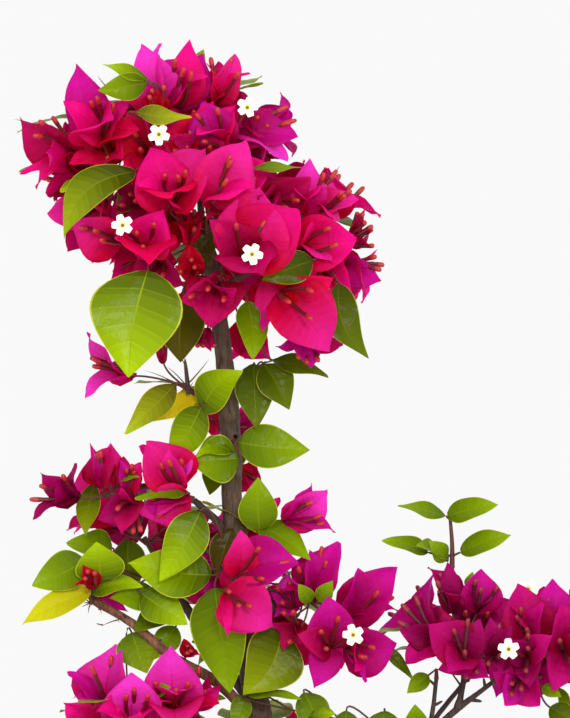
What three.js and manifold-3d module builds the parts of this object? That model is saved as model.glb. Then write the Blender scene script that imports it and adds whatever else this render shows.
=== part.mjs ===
// A bougainvillea bush in a plain clay pot, about 0.66 m tall.
// Millimetres, +Z up, the viewer at -Y. The origin is the middle of the pot's flat underside.
// One woody stem rises from the soil, boughs leave it, and each mass of blooms and leaves grows
// from one stem of its own. A bloom is three papery bracts round one point.

import * as THREE from "three";
import { mergeVertices } from "three/addons/utils/BufferGeometryUtils.js";
import Module from "manifold-3d";

const wasm = await Module();
wasm.setup();

const { degToRad, radToDeg, lerp, clamp } = THREE.MathUtils;

// Driving sizes
const clearance = 0.3;
const pot = {
  height: 174,
  rimRadius: 106,
  footRadius: 73,
  wall: 8,
  floor: 14,
  collar: 32,
  collarStep: 6,
  mouthStep: 2,
  sides: 30,
};
const soilLevel = 157;
const soilGap = 1;
const trunkShape = {
  footRadius: 9,
  tipRadius: 3.6,
  taper: 0.8,
  flare: 6,
  flareHeight: 16,
  sides: 10,
  steps: 18,
};
const boughShape = { sides: 6, step: 16 };
const stemShape = { radius: 1.9, tipRadius: 1.3, root: 6, sides: 5 };
const twigShape = {
  radius: 0.95,
  tipRadius: 0.55,
  shareOfParent: 0.6,
  root: 0.12,
  reach: 0.6,
  backOff: 0.38,
  bend: 0.4,
  spacing: 2.4,
  longest: 36,
  stub: 2,
};
const leafShape = { shares: [0.28, 0.68], fold: 0.12, droop: 0.1, thick: 0.028 };
const bloomShape = { open: 46, width: 0.9, shoulder: 0.66, notch: 0.52, fold: 0.1, inner: 2.6 };
const bladeClearance = 0.1;
const golden = 0.618034;

// What a fill holds: how far out, in shares of its radii, and each size as its least and what chance adds.
const fillShape = {
  headingChance: 16,
  leafReach: 0.78,
  bloomReach: 0.6,
  reachChance: 0.14,
  leafLength: [26, 13],
  leafWidth: [0.58, 0.12],
  leafRise: [0.6, -15],
  leafLook: 55,
  bloomSize: [28, 6],
  bloomRiseChance: 24,
  nudges: [0, -5, 6, -10, 12],
};

const colours = {
  clay: 0xb0643f,
  soil: 0x3b2a1e,
  bark: 0x5d4c40,
  bract: 0xb81a6c,
  leaf: 0x5f9a1a,
};

// Random numbers that are the same on every run.
function seeded(seed) {
  let state = seed >>> 0;
  return () => {
    state = (state + 0x6d2b79f5) >>> 0;
    let mixed = Math.imul(state ^ (state >>> 15), 1 | state);
    mixed = (mixed + Math.imul(mixed ^ (mixed >>> 7), 61 | mixed)) ^ mixed;
    return ((mixed ^ (mixed >>> 14)) >>> 0) / 4294967296;
  };
}

const vector = (x, y, z) => new THREE.Vector3(x, y, z);
const up = vector(0, 0, 1);

// A direction from its heading, 0 towards the viewer and 90 to +X, and its rise above level, in degrees.
function direction(heading, rise) {
  const h = degToRad(heading);
  const r = degToRad(rise);
  return vector(Math.cos(r) * Math.sin(h), -Math.cos(r) * Math.cos(h), Math.sin(r));
}

// The part of a vector square to an axis, as a unit vector.
function squareTo(v, axis, spare) {
  const flat = v.clone().addScaledVector(axis, -v.dot(axis));
  return flat.lengthSq() > 1e-4 ? flat.normalize() : squareTo(spare, axis, vector(1, 0, 0));
}

// A closed geometry as a solid: its seams are joined first, then each vertex is moved to its place.
function solidOf(geometry, move = (p) => p) {
  const bare = geometry.clone();
  bare.deleteAttribute("normal");
  bare.deleteAttribute("uv");
  const joined = mergeVertices(bare, 1e-4);
  const place = joined.attributes.position;
  for (let i = 0; i < place.count; i++) {
    const at = move(vector(place.getX(i), place.getY(i), place.getZ(i)));
    place.setXYZ(i, at.x, at.y, at.z);
  }
  const corners = joined.index.array;
  const faces = [];
  for (let i = 0; i < corners.length; i += 3) {
    const [a, b, c] = [corners[i], corners[i + 1], corners[i + 2]];
    if (a !== b && b !== c && c !== a) faces.push(a, b, c);
  }
  const mesh = new wasm.Mesh({
    numProp: 3,
    vertProperties: new Float32Array(place.array),
    triVerts: new Uint32Array(faces),
  });
  return new wasm.Manifold(mesh);
}

// Half a blade's width at a share of its length, as a share of its greatest: sin(pi s^0.62) is widest
// below the middle.
const bladeHalf = (share) => Math.sin(Math.PI * Math.pow(share, 0.62));

// A unit bar along Y, or a spike where topRadius is 0. Its end faces are fans from one of their corners.
function unitBar(topRadius, sides, steps) {
  const geometry = new THREE.CylinderGeometry(topRadius, 1, 1, sides, steps);
  const place = geometry.attributes.position;
  for (let i = 0; i < place.count; i++) {
    const isCentre = Math.hypot(place.getX(i), place.getZ(i)) < 1e-6;
    if (isCentre) place.setZ(i, place.getY(i) > 0 ? topRadius : 1);
  }
  return geometry;
}

// Which ring of a unit spike a point is on, and its corner there as a share of a turn from +Z.
function ringOf(p, steps) {
  const ring = Math.round((p.y + 0.5) * steps);
  const turn = (Math.atan2(p.x, p.z) / (2 * Math.PI) + 1) % 1;
  return { ring, turn };
}

function geometryOf(solid) {
  const mesh = solid.getMesh();
  const count = mesh.vertProperties.length / mesh.numProp;
  const places = new Float32Array(count * 3);
  for (let i = 0; i < count; i++) {
    places.set(mesh.vertProperties.subarray(i * mesh.numProp, i * mesh.numProp + 3), i * 3);
  }
  const geometry = new THREE.BufferGeometry();
  geometry.setAttribute("position", new THREE.BufferAttribute(places, 3));
  geometry.setIndex(new THREE.BufferAttribute(new Uint32Array(mesh.triVerts), 1));
  return geometry;
}

// The largest piece of a solid: loose scraps and sealed hollows are dropped.
function largest(solid) {
  const pieces = solid.decompose();
  return pieces.reduce((a, b) => (b.volume() > a.volume() ? b : a));
}

// A round bar along a curve: a cylinder whose rings are moved onto the curve.
function bar(curve, radiusAt, sides, steps) {
  const frames = curve.computeFrenetFrames(steps);
  return solidOf(unitBar(1, sides, steps), (p) => {
    const share = p.y + 0.5;
    const step = Math.round(share * steps);
    const radius = radiusAt(share);
    const at = curve.getPointAt(step / steps);
    at.addScaledVector(frames.normals[step], p.x * radius);
    at.addScaledVector(frames.binormals[step], -p.z * radius);
    return at;
  });
}

// A corner of a three-sided stalk at one of its joints. Turn 0 is the keel, away from the face.
function stalkCorner(stalk, joint, turn, face) {
  const { points, radiusAt } = stalk;
  const last = points.length - 1;
  const tangent = points[Math.min(joint + 1, last)].clone().sub(points[Math.max(joint - 1, 0)]).normalize();
  const normal = squareTo(face, tangent, up);
  const side = normal.clone().cross(tangent);
  const radius = radiusAt(joint / last);
  const angle = turn * 2 * Math.PI;
  const corner = points[joint].clone().addScaledVector(side, Math.sin(angle) * radius);
  return corner.addScaledVector(normal, -Math.cos(angle) * radius);
}

// A leaf and its stalk are one three-sided spike: round along the stalk, then wide and flat with a keel
// below, then a point.
function leafSolid({ at, heading, rise, length, width, look }, stalk) {
  const along = direction(heading, rise);
  const face = squareTo(direction(...look), along, up);
  const across = face.clone().cross(along);
  const joints = stalk.points.length;
  const steps = joints + leafShape.shares.length;
  return solidOf(unitBar(0, 3, steps), (p) => {
    const { ring, turn } = ringOf(p, steps);
    if (ring < joints) return stalkCorner(stalk, ring, turn, face);
    const share = leafShape.shares[ring - joints] ?? 1;
    const half = share < 1 ? (width / 2) * bladeHalf(share) : 0;
    const isKeel = turn < 0.1 || turn > 0.9;
    const side = isKeel ? 0 : Math.sign(0.5 - turn) * half;
    const fold = isKeel && share < 1 ? -length * leafShape.thick : Math.abs(side) * leafShape.fold * 2;
    const lift = fold - length * leafShape.droop * share * share;
    const place = at.clone().addScaledVector(along, share * length);
    return place.addScaledVector(across, side).addScaledVector(face, lift);
  });
}

// A bloom is one cup of three pointed lobes, the bracts, which lean out from its axis, on a three-sided
// stalk. Its rim has twelve corners: three times tip, shoulder, notch, shoulder. Inside it comes to a
// point where the bracts meet. Roll 0 has the first bract uppermost. The stalk's rings have only three
// corners, so four of the unit spike's twelve are drawn together into each before the seams are joined.
function bloomSolid({ at, heading, rise, size, roll }, stalk) {
  const { shoulder, notch, fold, width, inner } = bloomShape;
  const open = degToRad(bloomShape.open);
  const axis = direction(heading, rise);
  const top = squareTo(up, axis, vector(0, -1, 0));
  const joints = stalk.points.length;
  const steps = joints + 1;
  const unit = unitBar(0, 12, steps);
  const place = unit.attributes.position;
  for (let i = 0; i < place.count; i++) {
    const { ring, turn } = ringOf(vector().fromBufferAttribute(place, i), steps);
    if (ring >= joints) continue;
    const third = (Math.floor(turn * 3 + 0.49) % 3) / 3;
    const scale = 1 - ring / steps;
    place.setX(i, Math.sin(third * 2 * Math.PI) * scale);
    place.setZ(i, Math.cos(third * 2 * Math.PI) * scale);
  }
  return solidOf(unit, (p) => {
    const { ring, turn } = ringOf(p, steps);
    if (ring < joints) return stalkCorner(stalk, ring, turn, top.clone().negate());
    if (ring > joints) return at.clone().addScaledVector(axis, inner);
    const corner = Math.round(turn * 12) % 12;
    const bract = corner % 4 === 3 ? (corner + 1) / 4 : Math.floor(corner / 4);
    const turned = (degrees) => top.clone().applyAxisAngle(axis, degToRad(roll + bract * 120 + degrees));
    const lean = (out) => axis.clone().multiplyScalar(Math.cos(open)).addScaledVector(out, Math.sin(open));
    if (corner % 4 === 2) return at.clone().addScaledVector(lean(turned(60)), size * notch);
    const out = turned(0);
    if (corner % 4 === 0) return at.clone().addScaledVector(lean(out), size);
    const half = (size * width * bladeHalf(shoulder)) / 2;
    const across = axis.clone().cross(out).multiplyScalar(corner % 4 === 1 ? half : -half);
    const face = axis.clone().multiplyScalar(Math.sin(open)).addScaledVector(out, -Math.cos(open));
    const place = at.clone().addScaledVector(lean(out), size * shoulder);
    return place.add(across).addScaledVector(face, half * fold * 2);
  });
}

// Limbs: the route of each from its root to its tip, with its radius at both ends.
const trunkRoute = [
  [0, 0, soilLevel - 6],
  [3, 1, 196],
  [5, 0, 250],
  [1, 0, 315],
  [-3, 0, 364],
  [-9, 0, 404],
  [-12, 0, 436],
  [-13, 0, 470],
  [-16, 0, 505],
  [-21, 0, 540],
  [-27, 0, 570],
];
const boughs = [
  {
    name: "bough_left",
    from: { limb: "trunk", height: 414 },
    radii: [2.8, 2.1],
    route: [[-21, -2, 425], [-31, -3, 434]],
  },
  {
    name: "bough_left_dry",
    from: { limb: "trunk", height: 322 },
    radii: [3.6, 2.4],
    route: [[-18, -5, 342], [-43, -9, 357], [-62, -9, 373], [-81, -9, 384]],
  },
  {
    name: "bough_low_left",
    from: { limb: "trunk", height: 258 },
    radii: [3.6, 2.2],
    route: [[-20, -4, 288], [-47, -6, 316]],
  },
  {
    name: "bough_right",
    from: { limb: "trunk", height: 366 },
    radii: [2.8, 2.1],
    route: [[6, -5, 379], [18, -8, 388]],
  },
  {
    name: "bough_low_right",
    from: { limb: "trunk", height: 262 },
    radii: [3.2, 2],
    route: [[24, -8, 284], [44, -12, 302]],
  },
  {
    name: "bough_far_right",
    from: { limb: "trunk", height: 226 },
    radii: [5.2, 2.6],
    route: [[34, 2, 258], [70, 0, 298], [94, -2, 324], [118, -4, 343]],
  },
  {
    name: "bough_shoot_right",
    from: { limb: "bough_far_right", height: 330 },
    radii: [2.4, 1.4],
    route: [[104, -3, 348], [101, -2, 374], [98, -2, 400]],
  },
  {
    name: "bough_twig_right",
    from: { limb: "bough_far_right", height: 309 },
    radii: [1.7, 1.3],
    route: [[87, -7, 324], [90, -8, 345]],
  },
  {
    name: "bough_far_back",
    from: { limb: "bough_far_right", height: 300 },
    radii: [2.6, 1.8],
    route: [[92, 20, 326], [106, 34, 342]],
  },
  {
    name: "bough_back_left",
    from: { limb: "trunk", height: 330 },
    radii: [3.2, 2],
    route: [[-24, 24, 362], [-44, 40, 392]],
  },
  {
    name: "bough_back_right",
    from: { limb: "trunk", height: 346 },
    radii: [3, 2],
    route: [[8, 22, 366], [18, 38, 382]],
  },
  {
    name: "bough_low_front",
    from: { limb: "trunk", height: 216 },
    radii: [3.6, 2.2],
    route: [[4, -36, 252], [5, -54, 276]],
  },
  {
    name: "bough_low_back",
    from: { limb: "trunk", height: 232 },
    radii: [3.6, 2.2],
    route: [[-2, 38, 266], [-5, 54, 286]],
  },
];

// Blooms: x, y, z of the point where the bracts meet, heading, rise, bract length, roll.
// Leaves: x, y, z of the stalk's end, heading, rise, length, width, and where the face looks: heading, rise.
// Fill: more of both round an ellipsoid, by a seeded rule, between two headings and two rises.
const masses = [
  {
    name: "crown_left",
    from: { limb: "trunk", height: 556 },
    stem: [[-46, -14, 576], [-64, -14, 592]],
    blooms: [
      [-90, -8, 608, -75, -8, 33, 0],
      [-70, -22, 613, -30, 45, 34, 0],
      [-70, -28, 561, -60, 5, 30, 0],
      [-56, -42, 558, 0, 30, 30, 60],
    ],
    leaves: [
      [-61, -45, 601, -66, -47, 52, 29, 0, 30],
      [-53, -52, 548, -42, -75, 54, 46, 0, 25],
      [-57, -25, 594, -75, -55, 22, 14, 0, 30],
      [-33, -20, 534, -30, -85, 29, 20, 0, 10],
      [-93, 10, 626, -92, -8, 28, 16, 0, 80],
      [-54, -40, 641, -75, 22, 25, 20, 0, 30],
    ],
    fill: {
      seed: 11,
      centre: [-62, 14, 592],
      radii: [42, 38, 38],
      heading: [-180, -95],
      rise: [-35, 60],
      blooms: 4,
      leaves: 3,
    },
  },
  {
    name: "crown_top",
    from: { limb: "trunk", height: 570 },
    stem: [[-29, -2, 596], [-34, -6, 618]],
    blooms: [
      [-43, -12, 628, -70, 62, 34, 60],
      [-40, -22, 630, 15, 58, 33, 0],
      [-17, -18, 632, 40, 50, 30, 0],
      [-50, -40, 622, -10, 15, 20, 60],
      [-33, -34, 606, 0, 45, 30, 0],
    ],
    leaves: [
      [-58, -52, 628, 78, -6, 27, 14, 0, 60],
      [-28, 8, 647, 90, 65, 15, 8, 0, 20],
    ],
    fill: {
      seed: 12,
      centre: [-30, 18, 612],
      radii: [46, 40, 38],
      heading: [100, 260],
      rise: [5, 75],
      blooms: 4,
      leaves: 3,
    },
  },
  {
    name: "crown_front",
    from: { limb: "trunk", height: 548 },
    stem: [[-24, -14, 560], [-24, -28, 572]],
    blooms: [
      [-39, -48, 585, -5, 38, 36, 60],
      [-21, -48, 583, 35, 40, 33, 60],
      [-8, -50, 559, 8, 8, 34, 60],
      [-35, -42, 556, -10, -20, 22, 60],
      [-20, -42, 543, -8, -35, 30, 0],
    ],
    leaves: [[-4, -34, 533, 20, -72, 30, 17, 20, 15]],
  },
  {
    name: "crown_right",
    from: { limb: "trunk", height: 538 },
    stem: [[4, -10, 552], [22, -12, 562]],
    blooms: [
      [-10, -20, 614, 65, 10, 35, 0],
      [20, -18, 576, 20, 60, 28, 0],
      [33, -18, 568, 50, 38, 27, 30],
      [44, -4, 563, 80, 35, 24, 0],
      [44, -8, 548, 75, -22, 26, 0],
      [22, -34, 559, 55, 5, 32, 0],
      [10, -42, 538, 20, -22, 37, 0],
      [22, -24, 522, 25, -50, 30, 0],
    ],
    leaves: [
      [-2, -32, 598, 85, 5, 25, 12, 0, 70],
      [28, -48, 553, -70, -20, 26, 17, 0, 35],
      [46, -30, 541, 60, -62, 39, 22, 30, 20],
      [8, -12, 503, 75, -12, 31, 17, 0, 60],
    ],
    fill: {
      seed: 13,
      centre: [18, 12, 562],
      radii: [36, 38, 44],
      heading: [90, 170],
      rise: [-45, 65],
      blooms: 5,
      leaves: 3,
    },
  },
  {
    name: "crown_back",
    from: { limb: "trunk", height: 550 },
    stem: [[-26, 18, 562], [-27, 36, 572]],
    blooms: [[-8, 18, 524, 150, -55, 26, 0]],
    leaves: [],
    fill: {
      seed: 14,
      centre: [-27, 24, 568],
      radii: [50, 40, 44],
      heading: [110, 250],
      rise: [-60, 35],
      blooms: 7,
      leaves: 4,
    },
  },
  {
    name: "shoot_left",
    from: { limb: "trunk", height: 478 },
    stem: [[-24, -6, 484], [-35, -6, 490]],
    blooms: [[-59, 2, 498, -80, -2, 31, 30]],
    leaves: [
      [-40, -12, 491, -69, -40, 36, 19, 0, 25],
      [-28, -4, 489, -92, -36, 27, 16, 0, 30],
      [-28, -16, 481, -70, -68, 32, 19, 0, 20],
      [-27, -14, 480, 65, 45, 26, 16, 0, 30],
      [-42, 4, 495, -160, 35, 24, 15, 180, 60],
    ],
  },
  {
    name: "shoot_right",
    from: { limb: "trunk", height: 488 },
    stem: [[-5, -6, 495], [3, -8, 501]],
    blooms: [],
    leaves: [
      [1, -11, 502, 5, -70, 34, 20, 0, 20],
      [4, -8, 501, 80, -62, 24, 16, 150, 30],
      [5, -4, 503, 140, 5, 25, 15, 180, 70],
    ],
  },
  {
    name: "shoot_low",
    from: { limb: "trunk", height: 461 },
    stem: [[-12, -9, 463], [-10, -17, 466]],
    blooms: [],
    leaves: [
      [-9, -14, 464, 82, -4, 37, 22, 0, 15],
      [-12, -16, 464, -58, -44, 30, 24, 0, 25],
    ],
  },
  {
    name: "shoot_back",
    from: { limb: "trunk", height: 451 },
    stem: [[-11, 9, 457], [-9, 18, 462]],
    blooms: [
      [-7, 18, 470, 150, 10, 26, 0],
      [-8, 18, 450, 140, -35, 22, 0],
      [-20, 20, 472, 205, 15, 22, 60],
    ],
    leaves: [
      [-12, 22, 462, 185, -30, 30, 20, 180, 40],
      [-16, 18, 455, 240, -40, 26, 17, 200, 40],
    ],
  },
  {
    name: "spray_left",
    from: { limb: "bough_left" },
    stem: [[-54, -5, 441], [-76, -2, 436]],
    blooms: [
      [-89, -2, 430, -70, 22, 28, 0],
      [-76, -8, 442, -25, 60, 23, 0],
      [-65, -18, 436, -25, -30, 30, 60],
      [-60, -10, 444, 10, 50, 22, 0],
      [-38, -12, 440, -30, 38, 30, 0],
      [-38, -14, 433, -60, -22, 28, 60],
      [-70, 8, 440, 200, 25, 26, 0],
      [-48, 8, 442, 170, 40, 26, 60],
    ],
    leaves: [
      [-35, -22, 438, -72, 0, 26, 13, 0, 65],
      [-80, 4, 442, -60, -78, 25, 15, -30, 10],
      [-68, -14, 445, 60, 10, 11, 7, 0, 50],
    ],
  },
  {
    name: "leaves_left",
    from: { limb: "bough_left_dry" },
    stem: [[-80, -6, 393], [-74, -4, 403]],
    blooms: [[-82, -16, 390, -10, 60, 15, 0]],
    leaves: [
      [-85, -6, 404, -76, -24, 28, 19, 0, 25],
      [-76, -12, 394, -60, 62, 23, 22, 0, 10],
      [-72, 0, 408, -100, 20, 26, 18, 0, 40],
      [-82, -14, 388, -80, -24, 38, 17, 0, 35],
      [-81, -14, 387, 78, 20, 28, 15, 0, 50],
      [-64, 2, 412, 150, -78, 28, 15, 180, 20],
    ],
  },
  {
    name: "leaves_middle",
    from: { limb: "trunk", height: 402 },
    stem: [[-16, -9, 405], [-25, -10, 409]],
    blooms: [],
    leaves: [
      [-26, -24, 427, -68, -54, 39, 24, 0, 20],
      [-22, -16, 397, -84, 10, 42, 27, 0, 20],
      [-50, -16, 386, 78, -30, 24, 14, 0, 25],
      [-12, -11, 420, -60, -70, 26, 15, 0, -10],
      [-18, -18, 389, 50, -79, 51, 27, 0, 12],
    ],
  },
  {
    name: "spray_right",
    from: { limb: "bough_right" },
    stem: [[30, -12, 386], [42, -11, 374]],
    blooms: [
      [12, -12, 425, 70, 12, 31, 0],
      [-4, -24, 399, 12, 8, 36, 15],
      [30, -10, 390, 10, 50, 28, 0],
      [48, -6, 376, 45, 40, 29, 0],
      [38, -24, 366, 5, 8, 35, 60],
      [22, -16, 364, -50, 0, 24, 0],
      [50, -16, 360, 55, -8, 28, 0],
    ],
    leaves: [
      [2, -16, 420, -10, 80, 27, 21, 0, 0],
      [6, -14, 421, 75, -36, 27, 16, 0, 40],
      [28, -24, 384, -60, 50, 12, 8, 0, 20],
      [31, -24, 384, 70, 55, 13, 9, 0, 20],
      [14, -16, 368, -62, -50, 38, 29, 0, 15],
      [64, -6, 361, 80, -50, 23, 9, 0, 30],
    ],
  },
  {
    name: "spray_low_left",
    from: { limb: "bough_low_left" },
    stem: [[-56, -8, 324], [-67, -8, 331]],
    blooms: [
      [-74, -14, 334, -15, 52, 36, 0],
      [-42, -8, 336, 0, 42, 32, 0],
      [-46, -20, 328, 5, 10, 30, 60],
      [-30, -10, 334, 65, 18, 20, 0],
      [-78, -10, 322, -50, -5, 32, 60],
      [-60, -22, 316, -5, -20, 32, 0],
    ],
    leaves: [
      [-52, -18, 360, -45, -72, 20, 19, 0, 20],
      [-52, -22, 338, 60, 20, 12, 8, 0, 30],
      [-25, -6, 335, 80, 5, 10, 6, 0, 40],
    ],
    fill: {
      seed: 21,
      centre: [-62, 2, 306],
      radii: [46, 44, 30],
      heading: [-190, -20],
      rise: [-50, 10],
      blooms: 5,
      leaves: 7,
    },
  },
  {
    name: "low_right",
    from: { limb: "bough_low_right" },
    stem: [[54, -14, 308], [66, -14, 314]],
    blooms: [],
    leaves: [
      [24, -16, 318, 30, 62, 22, 14, 0, 20],
      [30, -12, 314, -30, 50, 20, 13, 0, 30],
      [44, -18, 318, 20, 40, 18, 13, 0, 40],
      [62, -18, 322, -60, 20, 20, 13, 0, 60],
      [66, -16, 320, 70, 30, 22, 14, 0, 50],
      [78, -12, 320, 60, 60, 16, 11, 0, 20],
    ],
    fill: {
      seed: 22,
      centre: [50, -12, 300],
      radii: [40, 38, 22],
      heading: [-80, 110],
      rise: [-60, 0],
      blooms: 3,
      leaves: 6,
    },
  },
  {
    name: "spray_far_right",
    from: { limb: "bough_shoot_right", height: 350 },
    stem: [[103, -11, 356], [101, -17, 364]],
    blooms: [
      [82, -18, 366, -62, 18, 30, 0],
      [96, -12, 378, -25, 62, 30, 0],
      [111, -8, 379, 20, 52, 26, 60],
      [100, -26, 357, 0, 25, 33, 60],
      [88, -14, 360, -45, -35, 27, 0],
      [112, -22, 352, 10, -20, 28, 0],
    ],
    leaves: [
      [106, -8, 390, 40, 70, 9, 6, 0, 20],
      [84, -14, 349, -60, -70, 12, 8, 0, 20],
    ],
  },
  {
    name: "twig_leaf_right",
    from: { limb: "bough_twig_right" },
    stem: [[89, -10, 349], [87, -12, 352]],
    blooms: [],
    leaves: [[86, -11, 349, -78, -35, 13, 9, 0, 30]],
  },
  {
    name: "shoot_top_right",
    from: { limb: "bough_shoot_right" },
    stem: [[98, -2, 412], [97, -2, 424]],
    blooms: [],
    leaves: [
      [94, -3, 423, -78, 20, 26, 13, 0, 55],
      [100, -3, 423, 74, 21, 24, 13, 0, 50],
      [86, -5, 408, -80, 20, 24, 13, 0, 50],
      [102, -5, 408, 76, 24, 26, 14, 0, 45],
      [95, -7, 404, -50, 45, 14, 11, 0, 30],
      [98, 2, 416, 180, 25, 22, 12, 180, 60],
    ],
  },
  {
    name: "spray_edge_right",
    from: { limb: "bough_far_right" },
    stem: [[134, -6, 352], [150, -5, 360]],
    blooms: [
      [122, -22, 366, -10, 40, 27, 60],
      [134, -14, 366, 0, 52, 34, 0],
      [142, -6, 370, 25, 60, 28, 0],
      [152, -16, 364, 25, 15, 34, 60],
      [132, -22, 346, 5, -30, 32, 0],
      [160, -2, 372, 60, 45, 32, 0],
      [166, -8, 354, 70, -5, 32, 0],
      [150, -18, 344, 30, -40, 28, 60],
    ],
    leaves: [
      [144, -12, 344, 60, -70, 22, 14, 20, 20],
      [150, 4, 340, 120, -60, 26, 17, 60, 30],
      [158, 0, 380, 90, 55, 20, 12, 0, 30],
      [160, 10, 352, 130, -20, 26, 16, 90, 60],
    ],
    fill: {
      seed: 23,
      centre: [146, 8, 358],
      radii: [42, 40, 30],
      heading: [60, 200],
      rise: [-30, 55],
      blooms: 4,
      leaves: 4,
    },
  },
  {
    name: "far_back",
    from: { limb: "bough_far_back" },
    stem: [[110, 37, 350], [111, 38, 360]],
    blooms: [],
    leaves: [],
    fill: {
      seed: 24,
      centre: [108, 36, 356],
      radii: [38, 34, 30],
      heading: [95, 265],
      rise: [-45, 60],
      blooms: 5,
      leaves: 4,
    },
  },
  {
    name: "back_left",
    from: { limb: "bough_back_left" },
    stem: [[-50, 44, 402], [-57, 47, 414]],
    blooms: [],
    leaves: [],
    fill: {
      seed: 25,
      centre: [-54, 46, 406],
      radii: [46, 38, 38],
      heading: [80, 280],
      rise: [-45, 70],
      blooms: 7,
      leaves: 7,
    },
  },
  {
    name: "back_right",
    from: { limb: "bough_back_right" },
    stem: [[20, 42, 389], [22, 46, 398]],
    blooms: [],
    leaves: [],
    fill: {
      seed: 26,
      centre: [18, 44, 388],
      radii: [42, 38, 38],
      heading: [80, 280],
      rise: [-45, 65],
      blooms: 6,
      leaves: 6,
    },
  },
  {
    name: "low_front",
    from: { limb: "bough_low_front" },
    stem: [[5, -58, 284], [5, -61, 294]],
    blooms: [],
    leaves: [],
    fill: {
      seed: 27,
      centre: [4, -56, 284],
      radii: [56, 40, 34],
      heading: [-100, 100],
      rise: [-40, 60],
      blooms: 7,
      leaves: 10,
    },
  },
  {
    name: "low_back",
    from: { limb: "bough_low_back" },
    stem: [[-5, 59, 294], [-5, 62, 304]],
    blooms: [],
    leaves: [],
    fill: {
      seed: 28,
      centre: [-4, 60, 294],
      radii: [60, 42, 36],
      heading: [80, 280],
      rise: [-40, 65],
      blooms: 7,
      leaves: 10,
    },
  },
];

// Places for a fill: golden steps of heading and even steps of the sine of the rise, with a little
// chance in each. Leaves are dealt evenly among the blooms and stand further out. One that finds no
// room at its own place tries others, further in or out.
function filled({ seed, centre, radii, heading, rise, blooms, leaves }) {
  const random = seeded(seed);
  const around = (chance) => (random() - 0.5) * chance;
  const sized = ([least, chance]) => least + random() * chance;
  const count = blooms + leaves;
  const low = Math.sin(degToRad(rise[0]));
  const high = Math.sin(degToRad(rise[1]));
  const found = { blooms: [], leaves: [] };
  for (let i = 0; i < count; i++) {
    const isLeaf = found.leaves.length < Math.floor(((i + 1) * leaves) / count);
    const turn = (0.5 + i * golden) % 1;
    const towards = lerp(heading[0], heading[1], turn) + around(fillShape.headingChance);
    const lift = radToDeg(Math.asin(clamp(lerp(low, high, (i + 0.5) / count), -1, 1)));
    const out = direction(towards, lift);
    const reach = (isLeaf ? fillShape.leafReach : fillShape.bloomReach) + around(fillShape.reachChance);
    const at = vector(...centre).add(vector(...radii).multiply(out).multiplyScalar(reach));
    const nudges = fillShape.nudges.map((further) => out.clone().multiplyScalar(further));
    const place = { at, heading: towards, nudges, mayTouch: false };
    if (isLeaf) {
      const length = sized(fillShape.leafLength);
      const width = length * sized(fillShape.leafWidth);
      const [share, added] = fillShape.leafRise;
      const look = [towards, fillShape.leafLook];
      found.leaves.push({ ...place, rise: lift * share + added, length, width, look });
    } else {
      const size = sized(fillShape.bloomSize);
      const tilt = lift + around(fillShape.bloomRiseChance);
      found.blooms.push({ ...place, rise: tilt, size, roll: random() * 120 });
    }
  }
  return found;
}

// One that is placed by hand may move in depth alone, so that it keeps its place in the front view.
const placedByHand = {
  nudges: [0, 5, -5, 10, -10, 16, -16, 22].map((depth) => vector(0, depth, 0)),
  mayTouch: true,
};
const bloomOf = ([x, y, z, heading, rise, size, roll]) => ({
  at: vector(x, y, z),
  heading,
  rise,
  size,
  roll,
  ...placedByHand,
});
const leafOf = ([x, y, z, heading, rise, length, width, lookHeading, lookRise]) => ({
  at: vector(x, y, z),
  heading,
  rise,
  length,
  width,
  look: [lookHeading, lookRise],
  ...placedByHand,
});

// A twig is bent once where it is long. It is kept as its joints, with a radius at each end.
function twig(start, bend, end, startRadius, endRadius) {
  const curve = new THREE.QuadraticBezierCurve3(start, bend, end);
  const steps = curve.getLength() > twigShape.longest ? 2 : 1;
  return { points: curve.getSpacedPoints(steps), radiusAt: (share) => lerp(startRadius, endRadius, share) };
}

// A point at a share of a twig's joints, and the length of the twig.
function pointOn({ points }, share) {
  const along = share * (points.length - 1);
  const joint = Math.min(Math.floor(along), points.length - 2);
  return points[joint].clone().lerp(points[joint + 1], along - joint);
}
const lengthOf = ({ points }) => points.slice(1).reduce((sum, p, i) => sum + p.distanceTo(points[i]), 0);

// Where a new twig to a target leaves those already grown: the nearest place, moved back towards the
// root, and further back where another twig leaves within a step of it.
function leavingPlace(grown, target) {
  let best = null;
  for (const parent of grown) {
    const reach = parent.isStem ? 1 : twigShape.reach;
    for (let share = 0.1; share <= reach + 1e-6; share += 0.1) {
      const gap = pointOn(parent, share).distanceTo(target);
      if (!best || gap < best.gap) best = { gap, parent, share };
    }
  }
  const { gap, parent } = best;
  const step = twigShape.spacing / lengthOf(parent);
  const isTaken = (share) => grown.some((g) => g.parent === parent && Math.abs(g.share - share) < step * 0.9);
  const root = parent.root ?? twigShape.root;
  let share = Math.max(best.share - (gap * twigShape.backOff) / lengthOf(parent), root);
  while (isTaken(share) && share - step > root) share -= step;
  return { at: pointOn(parent, share), radius: parent.radiusAt(share), gap, parent, share };
}

const built = [];
const group = new THREE.Group();

function addNode(name, solid, colour, roughness) {
  const material = new THREE.MeshStandardMaterial({ color: colour, roughness, metalness: 0 });
  const mesh = new THREE.Mesh(geometryOf(solid), material);
  mesh.name = name;
  group.add(mesh);
  built.push({ name, solid });
}

// Whether a solid stays clear of every node made so far.
function isClear(solid) {
  return built.every((node) => node.solid.minGap(solid, clearance * 2) >= clearance);
}

// A profile of radius and height, turned about the vertical.
function turned(profile) {
  const geometry = new THREE.LatheGeometry(profile.map(([r, z]) => new THREE.Vector2(r, z)), pot.sides);
  geometry.rotateX(Math.PI / 2);
  return solidOf(geometry);
}

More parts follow.
